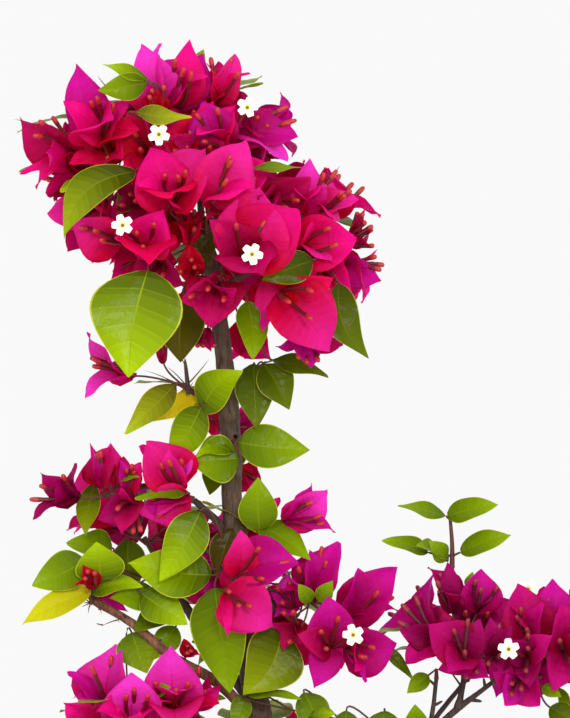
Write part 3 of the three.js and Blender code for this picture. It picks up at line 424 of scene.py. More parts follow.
# Masses: a stem that leaves a limb, and what grows on it. A bloom gives x, y, z of the point where its
# bracts meet, heading, rise and bract length; a roll, or a list of its bracts' points; its tint; and x, z
# of the ends of its flowers. A bract's point gives x, z, how far of what is left of the length goes towards
# the viewer, width, and a tint of its own. A leaf gives x, y, z of the stalk's end, heading, rise, length,
# width, heading and rise of where the face looks, its tint, and a bow to one side. Tints, flowers and
# bows that a row leaves out come by chance.
masses = {
    "crown_left": {
        "limb": "trunk", "height": 556, "stem": [[-46, -14, 576], [-64, -14, 592]],
        "blooms": [
            [-85, -8, 607, -62, -2, 38,
             [[-118, 625.5, 0.1, 0.95], [-117.5, 597, -0.3, 0.3, "magenta"],
              [-109, 588.5, 0.4, 0.65, "magenta"], [-102, 606, 0.9, 0.6, "magenta"]], "deep",
             [[-110.5, 615.5], [-108, 623], [-101.5, 625.5]]],
            [-76, -24, 612, -25, 40, 36,
             [[-95, 632, 0.5, 0.75], [-88.5, 651, -0.4, 0.66, "purple"], [-62, 632, 0.2, 0.9],
              [-69, 620.5, 1, 0.9], [-57, 617, 0.5, 0.9, "hot"]], "magenta", [[-81.5, 632], [-70, 630]]],
            [-67, -30, 561.5, -50, 10, 34,
             [[-92, 573, 0.3, 1.0, "pink"], [-80, 571, -0.3, 0.8], [-60, 575, -0.8, 0.9]], "deep",
             [[-80, 568], [-76, 563]]],
            [-54.5, -42, 558, 5, 22, 30,
             [[-44.5, 577.5, 0.6, 1.15], [-69.5, 564, 0.7, 1.0], [-53, 550, 1, 1.15, "hot"]], "magenta",
             [[-49.5, 571], [-58, 567]]],
        ],
        "leaves": [
            [-59.5, -45, 597, -70, -38, 48, 22, -10, 28, "shaded", -0.2],
            [-53, -52, 548, -42, -75, 54, 46, 0, 25, "fresh"],
            [-57, -25, 594, -75, -55, 22, 14, 0, 30, "dark"],
            # A leaf in shadow, given the dark 'shadow' tint as painted shade
            [-36, -14, 534, -20, -82, 31, 25, 0, 10, "shadow"],
            [-93, 10, 626, -92, -8, 28, 16, 0, 80],
            [-53, -40, 642, -82, 22, 24, 11, 0, 50, "fresh"],
            [-53.5, -41, 641, -78, -10, 25, 14, 0, -12, "green"],
        ],
        "fill": fill(11, [-62, 14, 592], [42, 38, 38], [-180, -95], [-35, 60], 4, 3),
    },
    "crown_top": {
        "limb": "trunk", "height": 570, "stem": [[-29, -2, 596], [-34, -6, 618]],
        "blooms": [
            [-47, -27, 627, -40, 70, 34,
             [[-56, 660, 0.1, 0.8], [-47.5, 662, 0.3, 0.55], [-37, 654, -0.9, 0.9, "purple"]], "violet"],
            [-38, -22, 628, 12, 45, 35,
             [[-32.5, 662.5, 0, 0.68], [-23.5, 645, 0.7, 0.75], [-41, 652, 0.3, 0.4, "deep"],
              [-26, 656, -0.5, 0.8, "purple"]], "magenta", [[-39.5, 652.5], [-35, 648], [-31.5, 646]]],
            [-19.5, -18, 631, 45, 50, 31,
             [[-10.3, 657, 0, 0.62, "pink"], [-2.5, 647, 0.4, 0.6], [-25, 651, 0.3, 0.6, "hot"],
              [-14, 650, -0.6, 0.8, "deep"]], "magenta", [[-22.5, 654.5], [-11.5, 654.5], [-8, 646.5]]],
            [-47, -36, 626, -20, 50, 18,
             [[-60, 631, 0.5, 0.9], [-53, 638, 0.3, 0.9], [-46.5, 636.5, 0.3, 0.9]], "red"],
            [-35.5, -36, 601.5, 0, 60, 22,
             [[-45.5, 617, 0.2, 1.0], [-28, 617, -0.2, 1.0], [-36, 610, -0.8, 0.9]], "red",
             [[-45, 613.5], [-32, 617.5]]],
            [-6, -14, 617, 40, 20, 22, 60, "deep"],
            [-16, -34, 609, -30, 35, 28,
             [[-27, 632, 0.2, 1.2, "purple"], [-9, 630, 0.2, 0.95], [-29, 615, 0.8, 0.9]], "magenta"],
        ],
        "leaves": [
            [-59, -54, 626, 85, -3, 28, 14, 0, 50, "olive", -0.1],
            [-30, 2, 648, 60, 70, 12, 8, 0, 20, "green"],
        ],
        "fill": fill(12, [-30, 18, 612], [46, 40, 38], [100, 260], [5, 75], 4, 3),
    },
    "crown_front": {
        "limb": "trunk", "height": 548, "stem": [[-24, -14, 560], [-24, -28, 572]],
        "blooms": [
            [-24, -8, 520, -10, -60, 14, [[-28, 511, 0.2, 0.8], [-22, 508, 0.2, 0.8]], "deep"],
            [-42, -46, 578, -2, 38, 34,
             [[-52, 609, 0.25, 1.1], [-24, 607, 0.2, 1.1, "pink"], [-40, 583, 1, 1.05, "hot"],
              [-58, 590, 0.8, 0.8]], "magenta", [[-44, 595], [-38, 594.5], [-34, 597]]],
            [-22, -48, 580, 30, 35, 34,
             [[-4.5, 612, 0.1, 1.0, "pink"], [0, 587, 0.8, 0.85], [-25.5, 599, -0.5, 0.9]], "magenta",
             [[-12, 604.5], [-13.5, 592.5]]],
            [-7, -46, 553, 10, 15, 36,
             [[-22.5, 573, 0.6, 0.95, "deep"], [22, 579, 0.1, 1.1], [3, 544.5, 0.9, 1.1, "deep"],
              [2, 588, -0.2, 1.2, "pink"]], "magenta", [[-9.5, 571], [5, 573]]],
            [-33, -26, 561, 0, 60, 24,
             [[-40, 577, 0.3, 1.0], [-24, 578, 0.1, 1.0], [-31, 572, 0.9, 1.0, "red"]], "hot",
             [[-35, 578]]],
            [-14, -24, 578, 0, 30, 26, 30, "hot"],
            [-50, -22, 603, -20, 30, 28, 45, "hot"],
            [-68, -8, 606, -30, 20, 28, 0, "hot"],
            [-46, -16, 553, -20, -20, 24, 0, "deep"],
            [-29.5, -38, 546, -15, 10, 17,
             [[-40, 550, 0.6, 1.0], [-32, 561.5, 0.4, 1.0], [-25.5, 550, 0.8, 0.9]], "red"],
            [-18.5, -40, 542, -5, -25, 31,
             [[-22, 519.5, 0.5, 1.35], [-37.5, 534, 0.7, 0.9], [-8, 538.5, 0.9, 0.9]], "deep",
             [[-23.5, 538]]],
        ],
        "leaves": [
            [-4, -34, 533, 20, -72, 30, 17, 20, 15, "green"],
            # A dark leaf hung over the trunk in the hollow of the crown: painted shade where the crown is in
            # shadow
            [-24, -21, 576, 10, -80, 25, 13, 0, 5, "shadow"],
        ],
    },
    "crown_right": {
        "limb": "trunk", "height": 538, "stem": [[4, -10, 552], [22, -12, 562]],
        "blooms": [
            [-10, -22, 615, 60, 12, 33,
             [[20.5, 614, 0.1, 0.85], [15.5, 602, 0.4, 1.0, "violet"], [14, 629, -0.3, 0.3]], "purple",
             [[16, 630], [20.5, 623]]],
            [23, -20, 576, 25, 60, 29,
             [[27, 603.5, -0.2, 0.75, "violet"], [16, 591.5, 0.4, 0.85], [33, 590, 0.3, 0.8]], "magenta",
             [[40.5, 598.5], [34, 597]]],
            [32, -18, 577, 50, 40, 27,
             [[51, 583, 0.1, 1.1], [38, 593, -0.3, 0.8], [40, 572, 0.6, 0.8]], "pink",
             [[47.5, 588.5], [43, 587]]],
            [47, -6, 567, 60, 50, 14, [[54.5, 579.5, 0.1, 0.4], [53, 571, 0.3, 0.7]], "deep"],
            [21, -34, 559, 50, 10, 32,
             [[50.5, 564, 0.1, 1.1], [39, 550, 0.5, 0.85, "pink"], [31, 576.5, 0.3, 1.0]], "magenta",
             [[37, 569], [43.5, 566], [40.5, 561]]],
            [46, -4, 561, 80, 25, 18,
             [[57.5, 570, 0.2, 0.9], [56, 561, 0.5, 0.8], [52, 572, -0.5, 0.9]], "deep",
             [[58.5, 571], [59, 561]]],
            [43.5, -10, 552, 75, -25, 26,
             [[63, 543.5, 0.2, 0.9, "purple"], [52.5, 532, 0.4, 1.0, "pink"], [59, 553, 0, 0.7]], "deep",
             [[62.5, 548.5], [60, 555.5]]],
            [12, -40, 538, 25, -15, 38,
             [[36.5, 508, 0.1, 1.0, "pink"], [39, 545, 0.2, 0.7, "hot"]], "magenta",
             [[17, 532], [28, 537.5], [27.5, 524]]],
            [7, -40, 545, 170, -10, 27, [[3.5, 518, 0.2, 0.55, "pink"]], "deep"],
            [23, -22, 518, 25, -50, 22,
             [[27, 500, 0.3, 1.0], [44.5, 512, 0.1, 0.9, "deep"], [9.5, 511, 0.2, 0.8]], "purple"],
        ],
        "leaves": [
            [-2, -50, 598, 85, 4, 25, 12, 0, 66, "green"],
            [28, -48, 553, -72, -20, 27, 17, 0, 5, "dark"],
            [41, -30, 542, 60, -62, 40, 19, 15, 15, "dark", -0.16],
            [8, -12, 504, 75, -12, 30, 17, 0, 60, "dark"],
        ],
        "fill": fill(13, [18, 12, 562], [36, 38, 44], [90, 170], [-45, 65], 5, 3),
    },
    "crown_back": {
        "limb": "trunk", "height": 550, "stem": [[-26, 18, 562], [-27, 36, 572]],
        "blooms": [
            [-8, 18, 524, 150, -55, 26, 0],
            [-8, 4, 602, 95, 10, 26, 20, "deep"],
            [8, 4, 588, 95, 15, 27, 80],
            [16, 2, 562, 90, 0, 24, 40, "deep"],
            [14, -2, 540, 95, -30, 22, 0, "magenta"],
            [-56, 4, 622, -80, 40, 28, 10, "deep"],
        ],
        "leaves": [],
        "fill": fill(14, [-27, 24, 568], [50, 40, 44], [110, 250], [-60, 35], 7, 4),
    },
    "shoot_left": {
        "limb": "trunk", "height": 478, "stem": [[-24, -6, 484], [-35, -6, 490]],
        "blooms": [
            [-60, -3, 496, -75, -2, 33,
             [[-83.5, 518.5, 0.1, 0.9], [-86, 484.5, 0.2, 0.95], [-75, 504, 0.2, 0.5, "purple"]], "violet",
             [[-81, 504.5], [-81.5, 501]]],
            [-46, -2, 502, -30, 60, 14, [[-44.5, 513.5, 0.2, 0.6], [-49.5, 512, 0, 0.5]], "deep"],
        ],
        "leaves": [
            [-40, -12, 492, -69, -40, 36, 16, 0, 35, "olive"],
            [-27, -6, 490, -92, -32, 30, 12, 0, 30, "amber", 0.03],
            [-27, -16, 481, -86, -60, 33, 19, 0, 20, "fresh"],
            [-27, -14, 478.5, 64, 44, 29, 20, 0, 20, "fresh", 0.12],
        ],
    },
    "shoot_right": {
        "limb": "trunk", "height": 488, "stem": [[-5, -6, 495], [3, -8, 501]],
        "blooms": [],
        "leaves": [
            [-1, -11, 502, 8, -70, 33, 20, 0, 20, "dark"],
            [4, -17, 502, 70, -57, 26, 20, 10, 28, "dark"],
            [5, -4, 503, 140, 5, 25, 15, 180, 70],
        ],
    },
    "shoot_low": {
        "limb": "trunk", "height": 461, "stem": [[-12, -9, 463], [-10, -17, 466]],
        "blooms": [],
        "leaves": [
            [-9, -14, 463, 82, -4, 36, 23, 0, 15, "green"],
            [-8.5, -16, 455, -84, -4, 24, 25, 0, 15, "green"],
            [-11.5, -19, 458.5, -80, -6, 19, 13, 0, 45, "fresh", -0.3],
        ],
    },
    "shoot_back": {
        "limb": "trunk", "height": 451, "stem": [[-11, 9, 457], [-9, 18, 462]],
        "blooms": [
            [-9, 18, 470, 165, 10, 20, 0],
            [-9, 18, 450, 150, -35, 18, 0],
            [-18, 20, 472, 195, 15, 17, 60],
        ],
        "leaves": [[-12, 22, 462, 185, -30, 30, 20, 180, 40], [-16, 18, 455, 205, -40, 26, 17, 200, 40]],
    },
    "spray_left": {
        "limb": "bough_left", "stem": [[-54, -5, 441], [-76, -2, 436]],
        "blooms": [
            [-88, -6, 435, -65, 15, 26,
             [[-107, 448.5, 0.2, 0.9], [-89.5, 453, 0.3, 0.8], [-112, 423.5, 0.1, 0.5],
              [-98, 440, 0.9, 0.7]], "wine", [[-113, 434.5], [-108, 441.5], [-96, 447]]],
            [-76.5, -10, 440, -20, 60, 23,
             [[-71, 461, 0.3, 1.15], [-83, 463, 0, 0.3, "purple"], [-78, 455, -0.8, 1.0]], "deep"],
            [-60.5, -22, 434, -20, -20, 27,
             [[-78, 425, 0.6, 1.1, "wine"], [-66, 417.5, 0.6, 0.9], [-67, 441, 0.6, 0.8]], "deep",
             [[-60.5, 418], [-56.5, 419]]],
            [-63, -12, 438, 0, 50, 18,
             [[-67, 454, 0.2, 0.7, "purple"], [-57, 453, 0.2, 0.9], [-62, 450, -0.7, 0.9]], "magenta"],
            [-38, -14, 440, -20, 40, 30,
             [[-54, 463.5, 0, 1.15], [-43, 461, 0.5, 0.7], [-29.5, 457.5, 0.3, 0.6, "violet"]], "pink",
             [[-47, 453], [-43.5, 455], [-37, 455]]],
            [-33, -16, 435.5, -60, -20, 26,
             [[-58, 428, 0.3, 1.0], [-56, 434, 0.5, 0.7, "purple"], [-50, 426, 0.5, 0.7]], "pink"],
            [-70, 8, 440, 200, 25, 26, 0],
            [-48, 8, 442, 170, 40, 26, 60],
        ],
        "leaves": [
            [-35, -24, 438, -72, 0, 26, 13, 0, 65, "green"],
            [-81, 4, 442, -60, -78, 27, 14, -30, 10, "shaded"],
            [-68, -14, 445, 60, 10, 11, 7, 0, 50, "green"],
        ],
    },
    "leaves_left": {
        "limb": "bough_left_dry", "stem": [[-80, -6, 393], [-74, -4, 403]],
        "blooms": [
            [-81, -18, 390, -10, 60, 13,
             [[-86, 402, 0.1, 0.9], [-79, 396, 0.6, 0.9], [-90, 392, 0.6, 0.8]], "red"],
        ],
        "leaves": [
            [-85, -6, 404, -76, -24, 30, 22, 0, 25, "green"],
            [-77, -12, 393, -20, 72, 21, 25, 0, 10, "fresh"],
            [-72, 0, 410, -100, 10, 24, 18, 0, 40, "green"],
            [-82, -14, 389.5, -80, -21, 38, 16, 0, 35, "yellow"],
            [-82, -14, 388, 78, 14, 26, 15, 0, 50, "fresh", 0.12],
            [-64, 2, 414, 150, -78, 28, 18, 180, 20, "dark"],
            [-48, -11, 384, -72, 8, 25, 17, 0, 30, "green"],
            [-43, -7, 380, -62, -25, 22, 15, 0, 35, "dark"],
            [-40, -5, 371, -62, -50, 20, 14, 0, 25, "green"],
        ],
    },
    "leaves_middle": {
        "limb": "trunk", "height": 402, "stem": [[-16, -9, 405], [-25, -10, 409]],
        "blooms": [],
        "leaves": [
            [-27.5, -24, 429, -66, -56, 40, 22, 0, 20, "fresh", 0.04],
            [-22, -16, 397, -84, 10, 42, 27, 0, 20, "fresh"],
            [-57, -16, 388, 78, -32, 28, 20, 0, 25, "fresh"],
            [-12, -11, 420, -60, -70, 26, 15, 0, 25, "shadow"],
            [-20.5, -18, 391, 40, -79, 53, 30, -20, 12, "green"],
        ],
    },
    "spray_right": {
        "limb": "bough_right", "stem": [[30, -12, 386], [42, -11, 374]],
        "blooms": [
            [13.5, -12, 424, 60, 15, 29,
             [[27.5, 443, 0.2, 1.05], [36, 440, -0.2, 0.9, "violet"], [39.5, 417.5, 0.3, 0.5]], "purple",
             [[28.5, 433.5], [32.5, 427]]],
            [-9, -22, 397, 20, 30, 31,
             [[-7.5, 420, 0.3, 0.9], [22, 404, 0.2, 1.0, "purple"], [-18, 402, -0.4, 0.4]], "pink",
             [[2, 411.5], [17, 404], [4, 396]]],
            [-15, -28, 389, 10, -10, 29,
             [[9, 372, 0.2, 1.15, "pink"], [-14.5, 367, 0.5, 0.35], [-16, 400, -0.3, 0.5, "deep"]],
             "magenta", [[-8, 383], [-2, 382]]],
            [28, -10, 384, 20, 65, 29,
             [[26, 410, 0.2, 0.9, "purple"], [42, 413.5, 0.1, 0.95, "purple"], [14.5, 390, 0.4, 1.0]],
             "deep", [[33, 411.5]]],
            [44.5, -8, 375, 45, 40, 30,
             [[51, 401, 0.3, 0.95], [70.5, 400, -0.1, 0.8], [72, 378.5, 0.3, 0.45], [60, 396, -0.6, 0.8]],
             "purple", [[61, 389.5], [69, 386]]],
            [37, -24, 361.5, 8, 10, 30,
             [[35.5, 387.5, 0.3, 1.1], [28.5, 342, 0.3, 0.9], [20, 368, 0.5, 0.9, "deep"]], "purple",
             [[41, 377.5], [35, 362]]],
            [44, -20, 361, 45, -10, 28,
             [[70.5, 363.5, 0.1, 1.2], [55, 344, 0.4, 0.5], [48, 350, 0.7, 0.8, "magenta"]], "purple",
             [[59, 361.5], [53.5, 357]]],
            [20, -8, 380, -20, 30, 22,
             [[7, 388, 0.3, 1.0], [15, 398, 0.1, 0.9, "violet"], [9, 376, 0.5, 0.9]], "purple"],
            [22, -16, 371.5, -40, -20, 20,
             [[7, 373, 0.3, 0.7], [13.5, 360, 0.4, 1.0], [24, 364, 0.7, 0.8]], "deep",
             [[13, 379.5], [18.5, 380]]],
        ],
        "leaves": [
            [2, -16, 418.5, -10, 80, 27, 20, 0, 0, "green"],
            [1, -14, 422, 75, -31, 32, 18, 0, 40, "green", 0.05],
            [28, -24, 384, -60, 50, 12, 8, 0, 20, "green"],
            [31, -24, 384, 70, 55, 13, 9, 0, 20, "green"],
            [13, -16, 370, -57, -55, 38, 31, 15, 15, "shaded", 0.12],
            [64, -6, 361, 82, -48, 22, 6.5, 0, 30, "dark"],
        ],
    },
    "spray_low_left": {
        "limb": "bough_low_left", "stem": [[-56, -8, 324], [-67, -8, 331]],
        "blooms": [
            [-73, -8, 328, -30, 55, 37,
             [[-68.5, 362.5, -0.2, 1.1, "violet"], [-94, 348.5, 0.1, 0.55], [-91, 336, 0.3, 0.85]],
             "purple", [[-82, 353], [-72, 357], [-67, 356]]],
            [-61, -24, 322, 0, 45, 32,
             [[-62, 350, 0.3, 1.25, "violet"], [-79, 330, 0.7, 1.0], [-47, 332, 0.6, 1.0]], "magenta",
             [[-63.5, 339], [-60, 342]]],
            [-42, -16, 328, 5, 60, 33,
             [[-42, 361, 0, 1.05, "violet"], [-38, 340, 0.8, 1.1, "pink"], [-52, 336, 0.5, 0.9],
              [-38, 322, 1, 1.1, "pink"]], "magenta", [[-33, 345], [-39, 342]]],
            [-33, -10, 331.5, 60, 20, 18,
             [[-17, 343, 0.3, 0.6, "magenta"], [-24, 348, 0.2, 0.6], [-18, 333, 0.4, 0.8, "hot"]], "deep",
             [[-28, 352]]],
            [-70, -10, 322, -45, -5, 28, 60, "magenta"],
            [-35, -10, 356, 30, 45, 9, 0, "red"],
            [-60, -22, 316, -5, -20, 32, 0, "magenta"],
        ],
        "leaves": [
            [-62, -6, 368, 48, -62, 22, 22, 0, 15, "green"],
            [-52, -22, 338, 60, 20, 12, 8, 0, 30, "green"],
            [-25, -6, 335, 80, 5, 10, 6, 0, 40, "green"],
        ],
        "fill": fill(21, [-62, 2, 306], [46, 44, 30], [-190, -20], [-50, 10], 5, 7),
    },
    "low_right": {
        "limb": "bough_low_right", "stem": [[54, -14, 308], [66, -14, 314]],
        "blooms": [],
        "leaves": [
            [-4, -20, 337.5, 80, 3, 27, 10, 0, 64, "green"],
            [-6, -14, 337, -50, -66, 17, 11, 0, 20, "green"],
            [24, -16, 338.5, 45, -62, 26, 17, 0, 20, "green"],
            [26, -20, 327, 80, 8, 14, 10, 0, 40, "fresh"],
            [45, -14, 329.5, 0, -75, 24, 15, 0, 20, "green"],
            [64, -14, 329.5, 0, -72, 27, 20, 0, 30, "green"],
            [66, -16, 316, 70, 30, 20, 13, 0, 50],
            [81, -12, 317, -18, 72, 16, 13, 0, 20, "green"],
        ],
        "fill": fill(22, [50, -12, 300], [40, 38, 22], [-80, 110], [-60, 0], 3, 6),
    },
    "spray_far_right": {
        "limb": "bough_shoot_right", "height": 350, "stem": [[103, -11, 356], [101, -17, 364]],
        "blooms": [
            [92, -18, 364, -50, 5, 24,
             [[71.5, 370.5, 0.2, 0.9], [74, 352.5, 0.3, 1.0, "plum"], [83, 388, 0.3, 0.7]], "wine",
             [[70, 374], [72, 383], [79, 387]]],
            [98, -12, 378, -15, 70, 26,
             [[85, 400.5, 0, 0.8], [95, 404, 0.1, 0.55], [91, 389, 0.6, 0.9, "deep"]], "wine"],
            [110, -8, 378, 20, 60, 24,
             [[112.5, 399.5, -0.1, 1.15, "purple"], [122, 388, 0.2, 0.7], [103, 391.5, 0.3, 0.6]], "wine",
             [[120.5, 391.5], [112, 391]]],
            [103, -28, 356.5, 0, 20, 25,
             [[85.5, 373, 0.3, 1.2], [111, 376.5, 0.3, 0.9, "wine"], [94, 350, 0.7, 1.1]], "plum",
             [[97.5, 371.5], [105, 376.5], [103, 361]]],
            [104, -20, 358, 0, -30, 22,
             [[116, 346.5, 0.4, 1.0], [90, 351, 0.5, 1.0], [104, 347, 0.8, 1.0, "wine"]], "plum"],
            [118, -22, 356.5, 10, 20, 22,
             [[116, 376.5, 0.3, 0.85], [127, 372, 0.4, 0.8], [122, 350, 0.6, 0.85]], "wine",
             [[121, 373.5], [114.5, 354]]],
            [108, 2, 366, 10, 40, 28, 0, "wine"],
        ],
        "leaves": [[106, -8, 390, 40, 70, 9, 6, 0, 20, "green"]],
    },
    "twig_leaf_right": {
        "limb": "bough_twig_right", "stem": [[90, -8.5, 347], [90, -9, 350]], "stemRadii": [1.3, 0.8],
        "blooms": [],
        "leaves": [[86, -11, 347, -72, -35, 14, 10, 0, 30, "green"]],
    },
    "shoot_top_right": {
        "limb": "bough_shoot_right", "stem": [[98, -2, 412], [97, -2, 425]], "stemRadii": [1.4, 0.9],
        "blooms": [],
        "leaves": [
            [95, -3, 426, -78, 19, 25, 13, 0, 55, "green"],
            [95.5, -3, 426, 74, 19, 26, 17, 0, 45, "green"],
            [86, -5, 408, -80, 20, 24, 13, 0, 50, "green"],
            [102, -5, 408, 76, 24, 27, 16, 0, 45, "green"],
            [95, -7, 404, -50, 45, 14, 11, 0, 30, "green"],
            [94, -1, 407, -40, 20, 20, 14, 0, 45, "green"],
        ],
    },
    "spray_edge_right": {
        "limb": "bough_far_right", "stem": [[134, -6, 352], [150, -5, 360]],
        "blooms": [
            [137, -14, 364, -5, 55, 28,
             [[130.5, 392.5, 0, 1.1], [142.5, 384, 0.4, 0.9], [125.5, 381.5, 0.5, 0.8, "deep"]], "plum",
             [[129, 377.5], [134, 371]]],
            [146, -6, 364, 15, 65, 28,
             [[148, 395, -0.1, 1.0, "purple"], [154, 386, 0.2, 0.9], [140, 382, -0.6, 0.9]], "deep"],
            [153, -18, 359, 20, 10, 32,
             [[151, 384, 0.3, 0.95], [170, 366, 0.4, 0.9, "deep"], [147, 340, 0.4, 1.0]], "plum",
             [[150, 366], [156, 356]]],
            [132, -22, 348, 0, -40, 24,
             [[123, 333, 0.4, 1.45, "purple"], [141, 332.5, 0.3, 1.3, "plum"], [117.5, 349.5, 0.5, 1.25]],
             "plum", [[131, 341], [126, 344]]],
            [134.5, -26, 356.5, -10, 10, 24,
             [[122, 366, 0.5, 0.9], [147, 368, 0.5, 0.9, "plum"], [136, 342, 0.5, 1.0]], "wine",
             [[134.5, 369]]],
            [160, -2, 372, 60, 45, 32, 0, "deep"],
            [166, -8, 356, 70, -5, 32, 0, "magenta"],
            [156, -14, 352, 60, -5, 22, 60, "purple"],
        ],
        "leaves": [
            [142, -24, 342, 75, -25, 11, 8, 0, 30, "green"],
            [146, -20, 331.5, 70, -30, 17, 13, 0, 30, "dark"],
            [150, 4, 340, 120, -60, 26, 17, 60, 30],
            [158, 0, 380, 90, 55, 20, 12, 0, 30],
            [160, 10, 352, 130, -20, 26, 16, 90, 60],
        ],
        "fill": fill(23, [146, 8, 358], [42, 40, 30], [60, 200], [-30, 55], 4, 4),
    },
    "far_back": {
        "limb": "bough_far_back", "stem": [[110, 37, 350], [111, 38, 360]],
        "blooms": [], "leaves": [],
        "fill": fill(24, [108, 36, 356], [38, 34, 30], [95, 265], [-45, 60], 5, 4),
    },
    "back_left": {
        "limb": "bough_back_left", "stem": [[-50, 44, 402], [-57, 47, 414]],
        "blooms": [], "leaves": [],
        "fill": fill(25, [-54, 46, 406], [46, 38, 38], [80, 280], [-45, 70], 7, 7),
    },
    "back_right": {
        "limb": "bough_back_right", "stem": [[20, 42, 389], [22, 46, 398]],
        "blooms": [], "leaves": [],
        "fill": fill(26, [18, 44, 388], [42, 38, 38], [80, 280], [-45, 65], 6, 6),
    },
    "low_front": {
        "limb": "bough_low_front", "stem": [[5, -58, 284], [5, -61, 294]],
        "blooms": [], "leaves": [],
        "fill": fill(27, [4, -56, 284], [56, 40, 34], [-100, 100], [-40, 60], 7, 10),
    },
    "low_back": {
        "limb": "bough_low_back", "stem": [[-5, 59, 294], [-5, 62, 304]],
        "blooms": [], "leaves": [],
        "fill": fill(28, [-4, 60, 294], [60, 42, 36], [80, 280], [-40, 65], 7, 10),
    },
}

# More blooms and leaves inside the same outlines, so that no light shows through where the photo has
# none. The source's own fills come first, and these stand further in and keep apart from what is there.
inner = {
    "crown_front": fill(131, [-26, -14, 582], [52, 34, 46], [-90, 80], [-35, 75], 18, 2),
    "crown_left": fill(132, [-64, -6, 592], [38, 34, 32], [-120, 30], [-45, 70], 10, 2),
    "crown_top": fill(133, [-30, 6, 612], [42, 42, 34], [-180, 180], [-10, 80], 20, 4),
    "crown_right": fill(134, [20, -6, 564], [38, 34, 44], [-40, 100], [-35, 70], 12, 2, 0.9),
    "crown_back": fill(135, [-27, 22, 576], [58, 46, 50], [95, 265], [-55, 70], 16, 6),
    "spray_left": fill(136, [-60, 0, 436], [38, 22, 16], [-180, 180], [-40, 60], 6, 3),
    "leaves_left": fill(137, [-72, 6, 398], [30, 24, 20], [60, 280], [-50, 50], 0, 5),
    "spray_right": fill(138, [30, -2, 374], [32, 26, 26], [-30, 230], [-45, 60], 7, 3),
    "spray_low_left": fill(139, [-58, -4, 318], [46, 36, 26], [-180, 180], [-55, 50], 9, 8),
    "low_right": fill(140, [50, -12, 300], [44, 38, 24], [-180, 180], [-65, 10], 5, 9),
    "spray_far_right": fill(141, [100, -6, 362], [28, 22, 22], [-60, 220], [-50, 60], 6, 2),
    "spray_edge_right": fill(142, [146, 0, 358], [42, 36, 28], [-60, 220], [-40, 60], 9, 5),
    "far_back": fill(143, [108, 36, 356], [42, 38, 32], [60, 300], [-50, 65], 10, 7),
    "back_left": fill(144, [-54, 46, 406], [50, 42, 42], [60, 300], [-50, 70], 12, 10),
    "back_right": fill(145, [18, 44, 388], [46, 42, 42], [60, 300], [-50, 65], 11, 9),
    "low_front": fill(146, [4, -56, 284], [60, 44, 36], [-120, 120], [-50, 60], 12, 14),
    "low_back": fill(147, [-4, 60, 294], [64, 46, 38], [60, 300], [-50, 65], 13, 14),
    "shoot_left": fill(148, [-34, 4, 488], [20, 16, 12], [60, 300], [-30, 50], 0, 3),
}

# Sky seen between the sprays from the front, as x, x, z, z: nothing of a fill has its middle there
sky = [
    [86, 124, 312, 345], [-112, -64, 362, 384], [-64, -34, 366, 384], [12, 92, 316, 346], [38, 84, 388, 430],
    [-125, -98, 568, 590], [-120, -84, 396, 426], [42, 52, 562, 572], [28, 38, 594, 602],
    [-80, -67, 577, 589], [-32, -16, 434, 448], [-34, -20, 384, 396], [21, 29, 401, 409],
]
fillRule = {
    "headingChance": 16, "leafReach": 0.78, "bloomReach": 0.6, "reachChance": 0.14, "leafLength": (26, 13),
    "leafWidth": (0.58, 0.12), "leafRise": (0.6, -15), "leafLook": 55, "bloomSize": (28, 6),
    "bloomRiseChance": 24, "rollChance": 120, "golden": 0.618034,
}
innerRule = {
    **fillRule, "leafReach": 0.7, "bloomReach": 0.46, "reachChance": 0.4, "leafLength": (20, 14),
    "bloomSize": (25, 8), "apart": 13,
}


def filled(space, rule):
    # Golden steps of heading and even steps of the sine of the rise, with a little chance in each
    random = seeded(space["seed"])

    def around(chance):
        return (random() - 0.5) * chance

    def sized(least, chance):
        return least + random() * chance

    count = space["blooms"] + space["leaves"]
    low, high = np.sin(np.radians(space["rise"]))
    blooms, leaves = [], []
    for i in range(count):
        isLeaf = len(leaves) < (i + 1) * space["leaves"] // count
        towards = mix(*space["heading"], (0.5 + i * rule["golden"]) % 1) + around(rule["headingChance"])
        lift = float(np.degrees(np.arcsin(np.clip(low + (high - low) * (i + 0.5) / count, -1, 1))))
        out = direction(towards, lift)
        reach = rule["leafReach" if isLeaf else "bloomReach"] + around(rule["reachChance"])
        at = np.array(space["centre"]) + np.array(space["radii"]) * out * reach
        if isLeaf:
            length = sized(*rule["leafLength"])
            width = length * sized(*rule["leafWidth"])
            share, added = rule["leafRise"]
            leaves.append([*at, towards, lift * share + added, length, width, towards, rule["leafLook"]])
        else:
            size = sized(*rule["bloomSize"]) * space["scale"]
            tilt = lift + around(rule["bloomRiseChance"])
            blooms.append([*at, towards, tilt, size, random() * rule["rollChance"]])
    return [[row for row in rows if not inSky(row)] for rows in (blooms, leaves)]


def inSky(row):
    # Whether the middle of a bloom or leaf, half its length along from where it starts, is in the sky
    x, _, z = np.array(row[:3]) + direction(row[3], row[4]) * row[5] / 2
    return any(left < x < right and low < z < high for left, right, low, high in sky)


# Twigs leave the stem, or an earlier twig, at the nearest place, moved back towards the root
twigRule = {
    "stemRadii": (1.9, 1.3), "stemRoot": 6, "radius": 0.95, "tipRadius": 0.5, "shareOfParent": 0.6,
    "root": 0.12, "reach": 0.6, "backOff": 0.38, "bend": 0.4, "spacing": 2.4, "least": 0.9, "tries": 0.1,
    "points": 8, "sides": 6, "stemSides": 8,
}


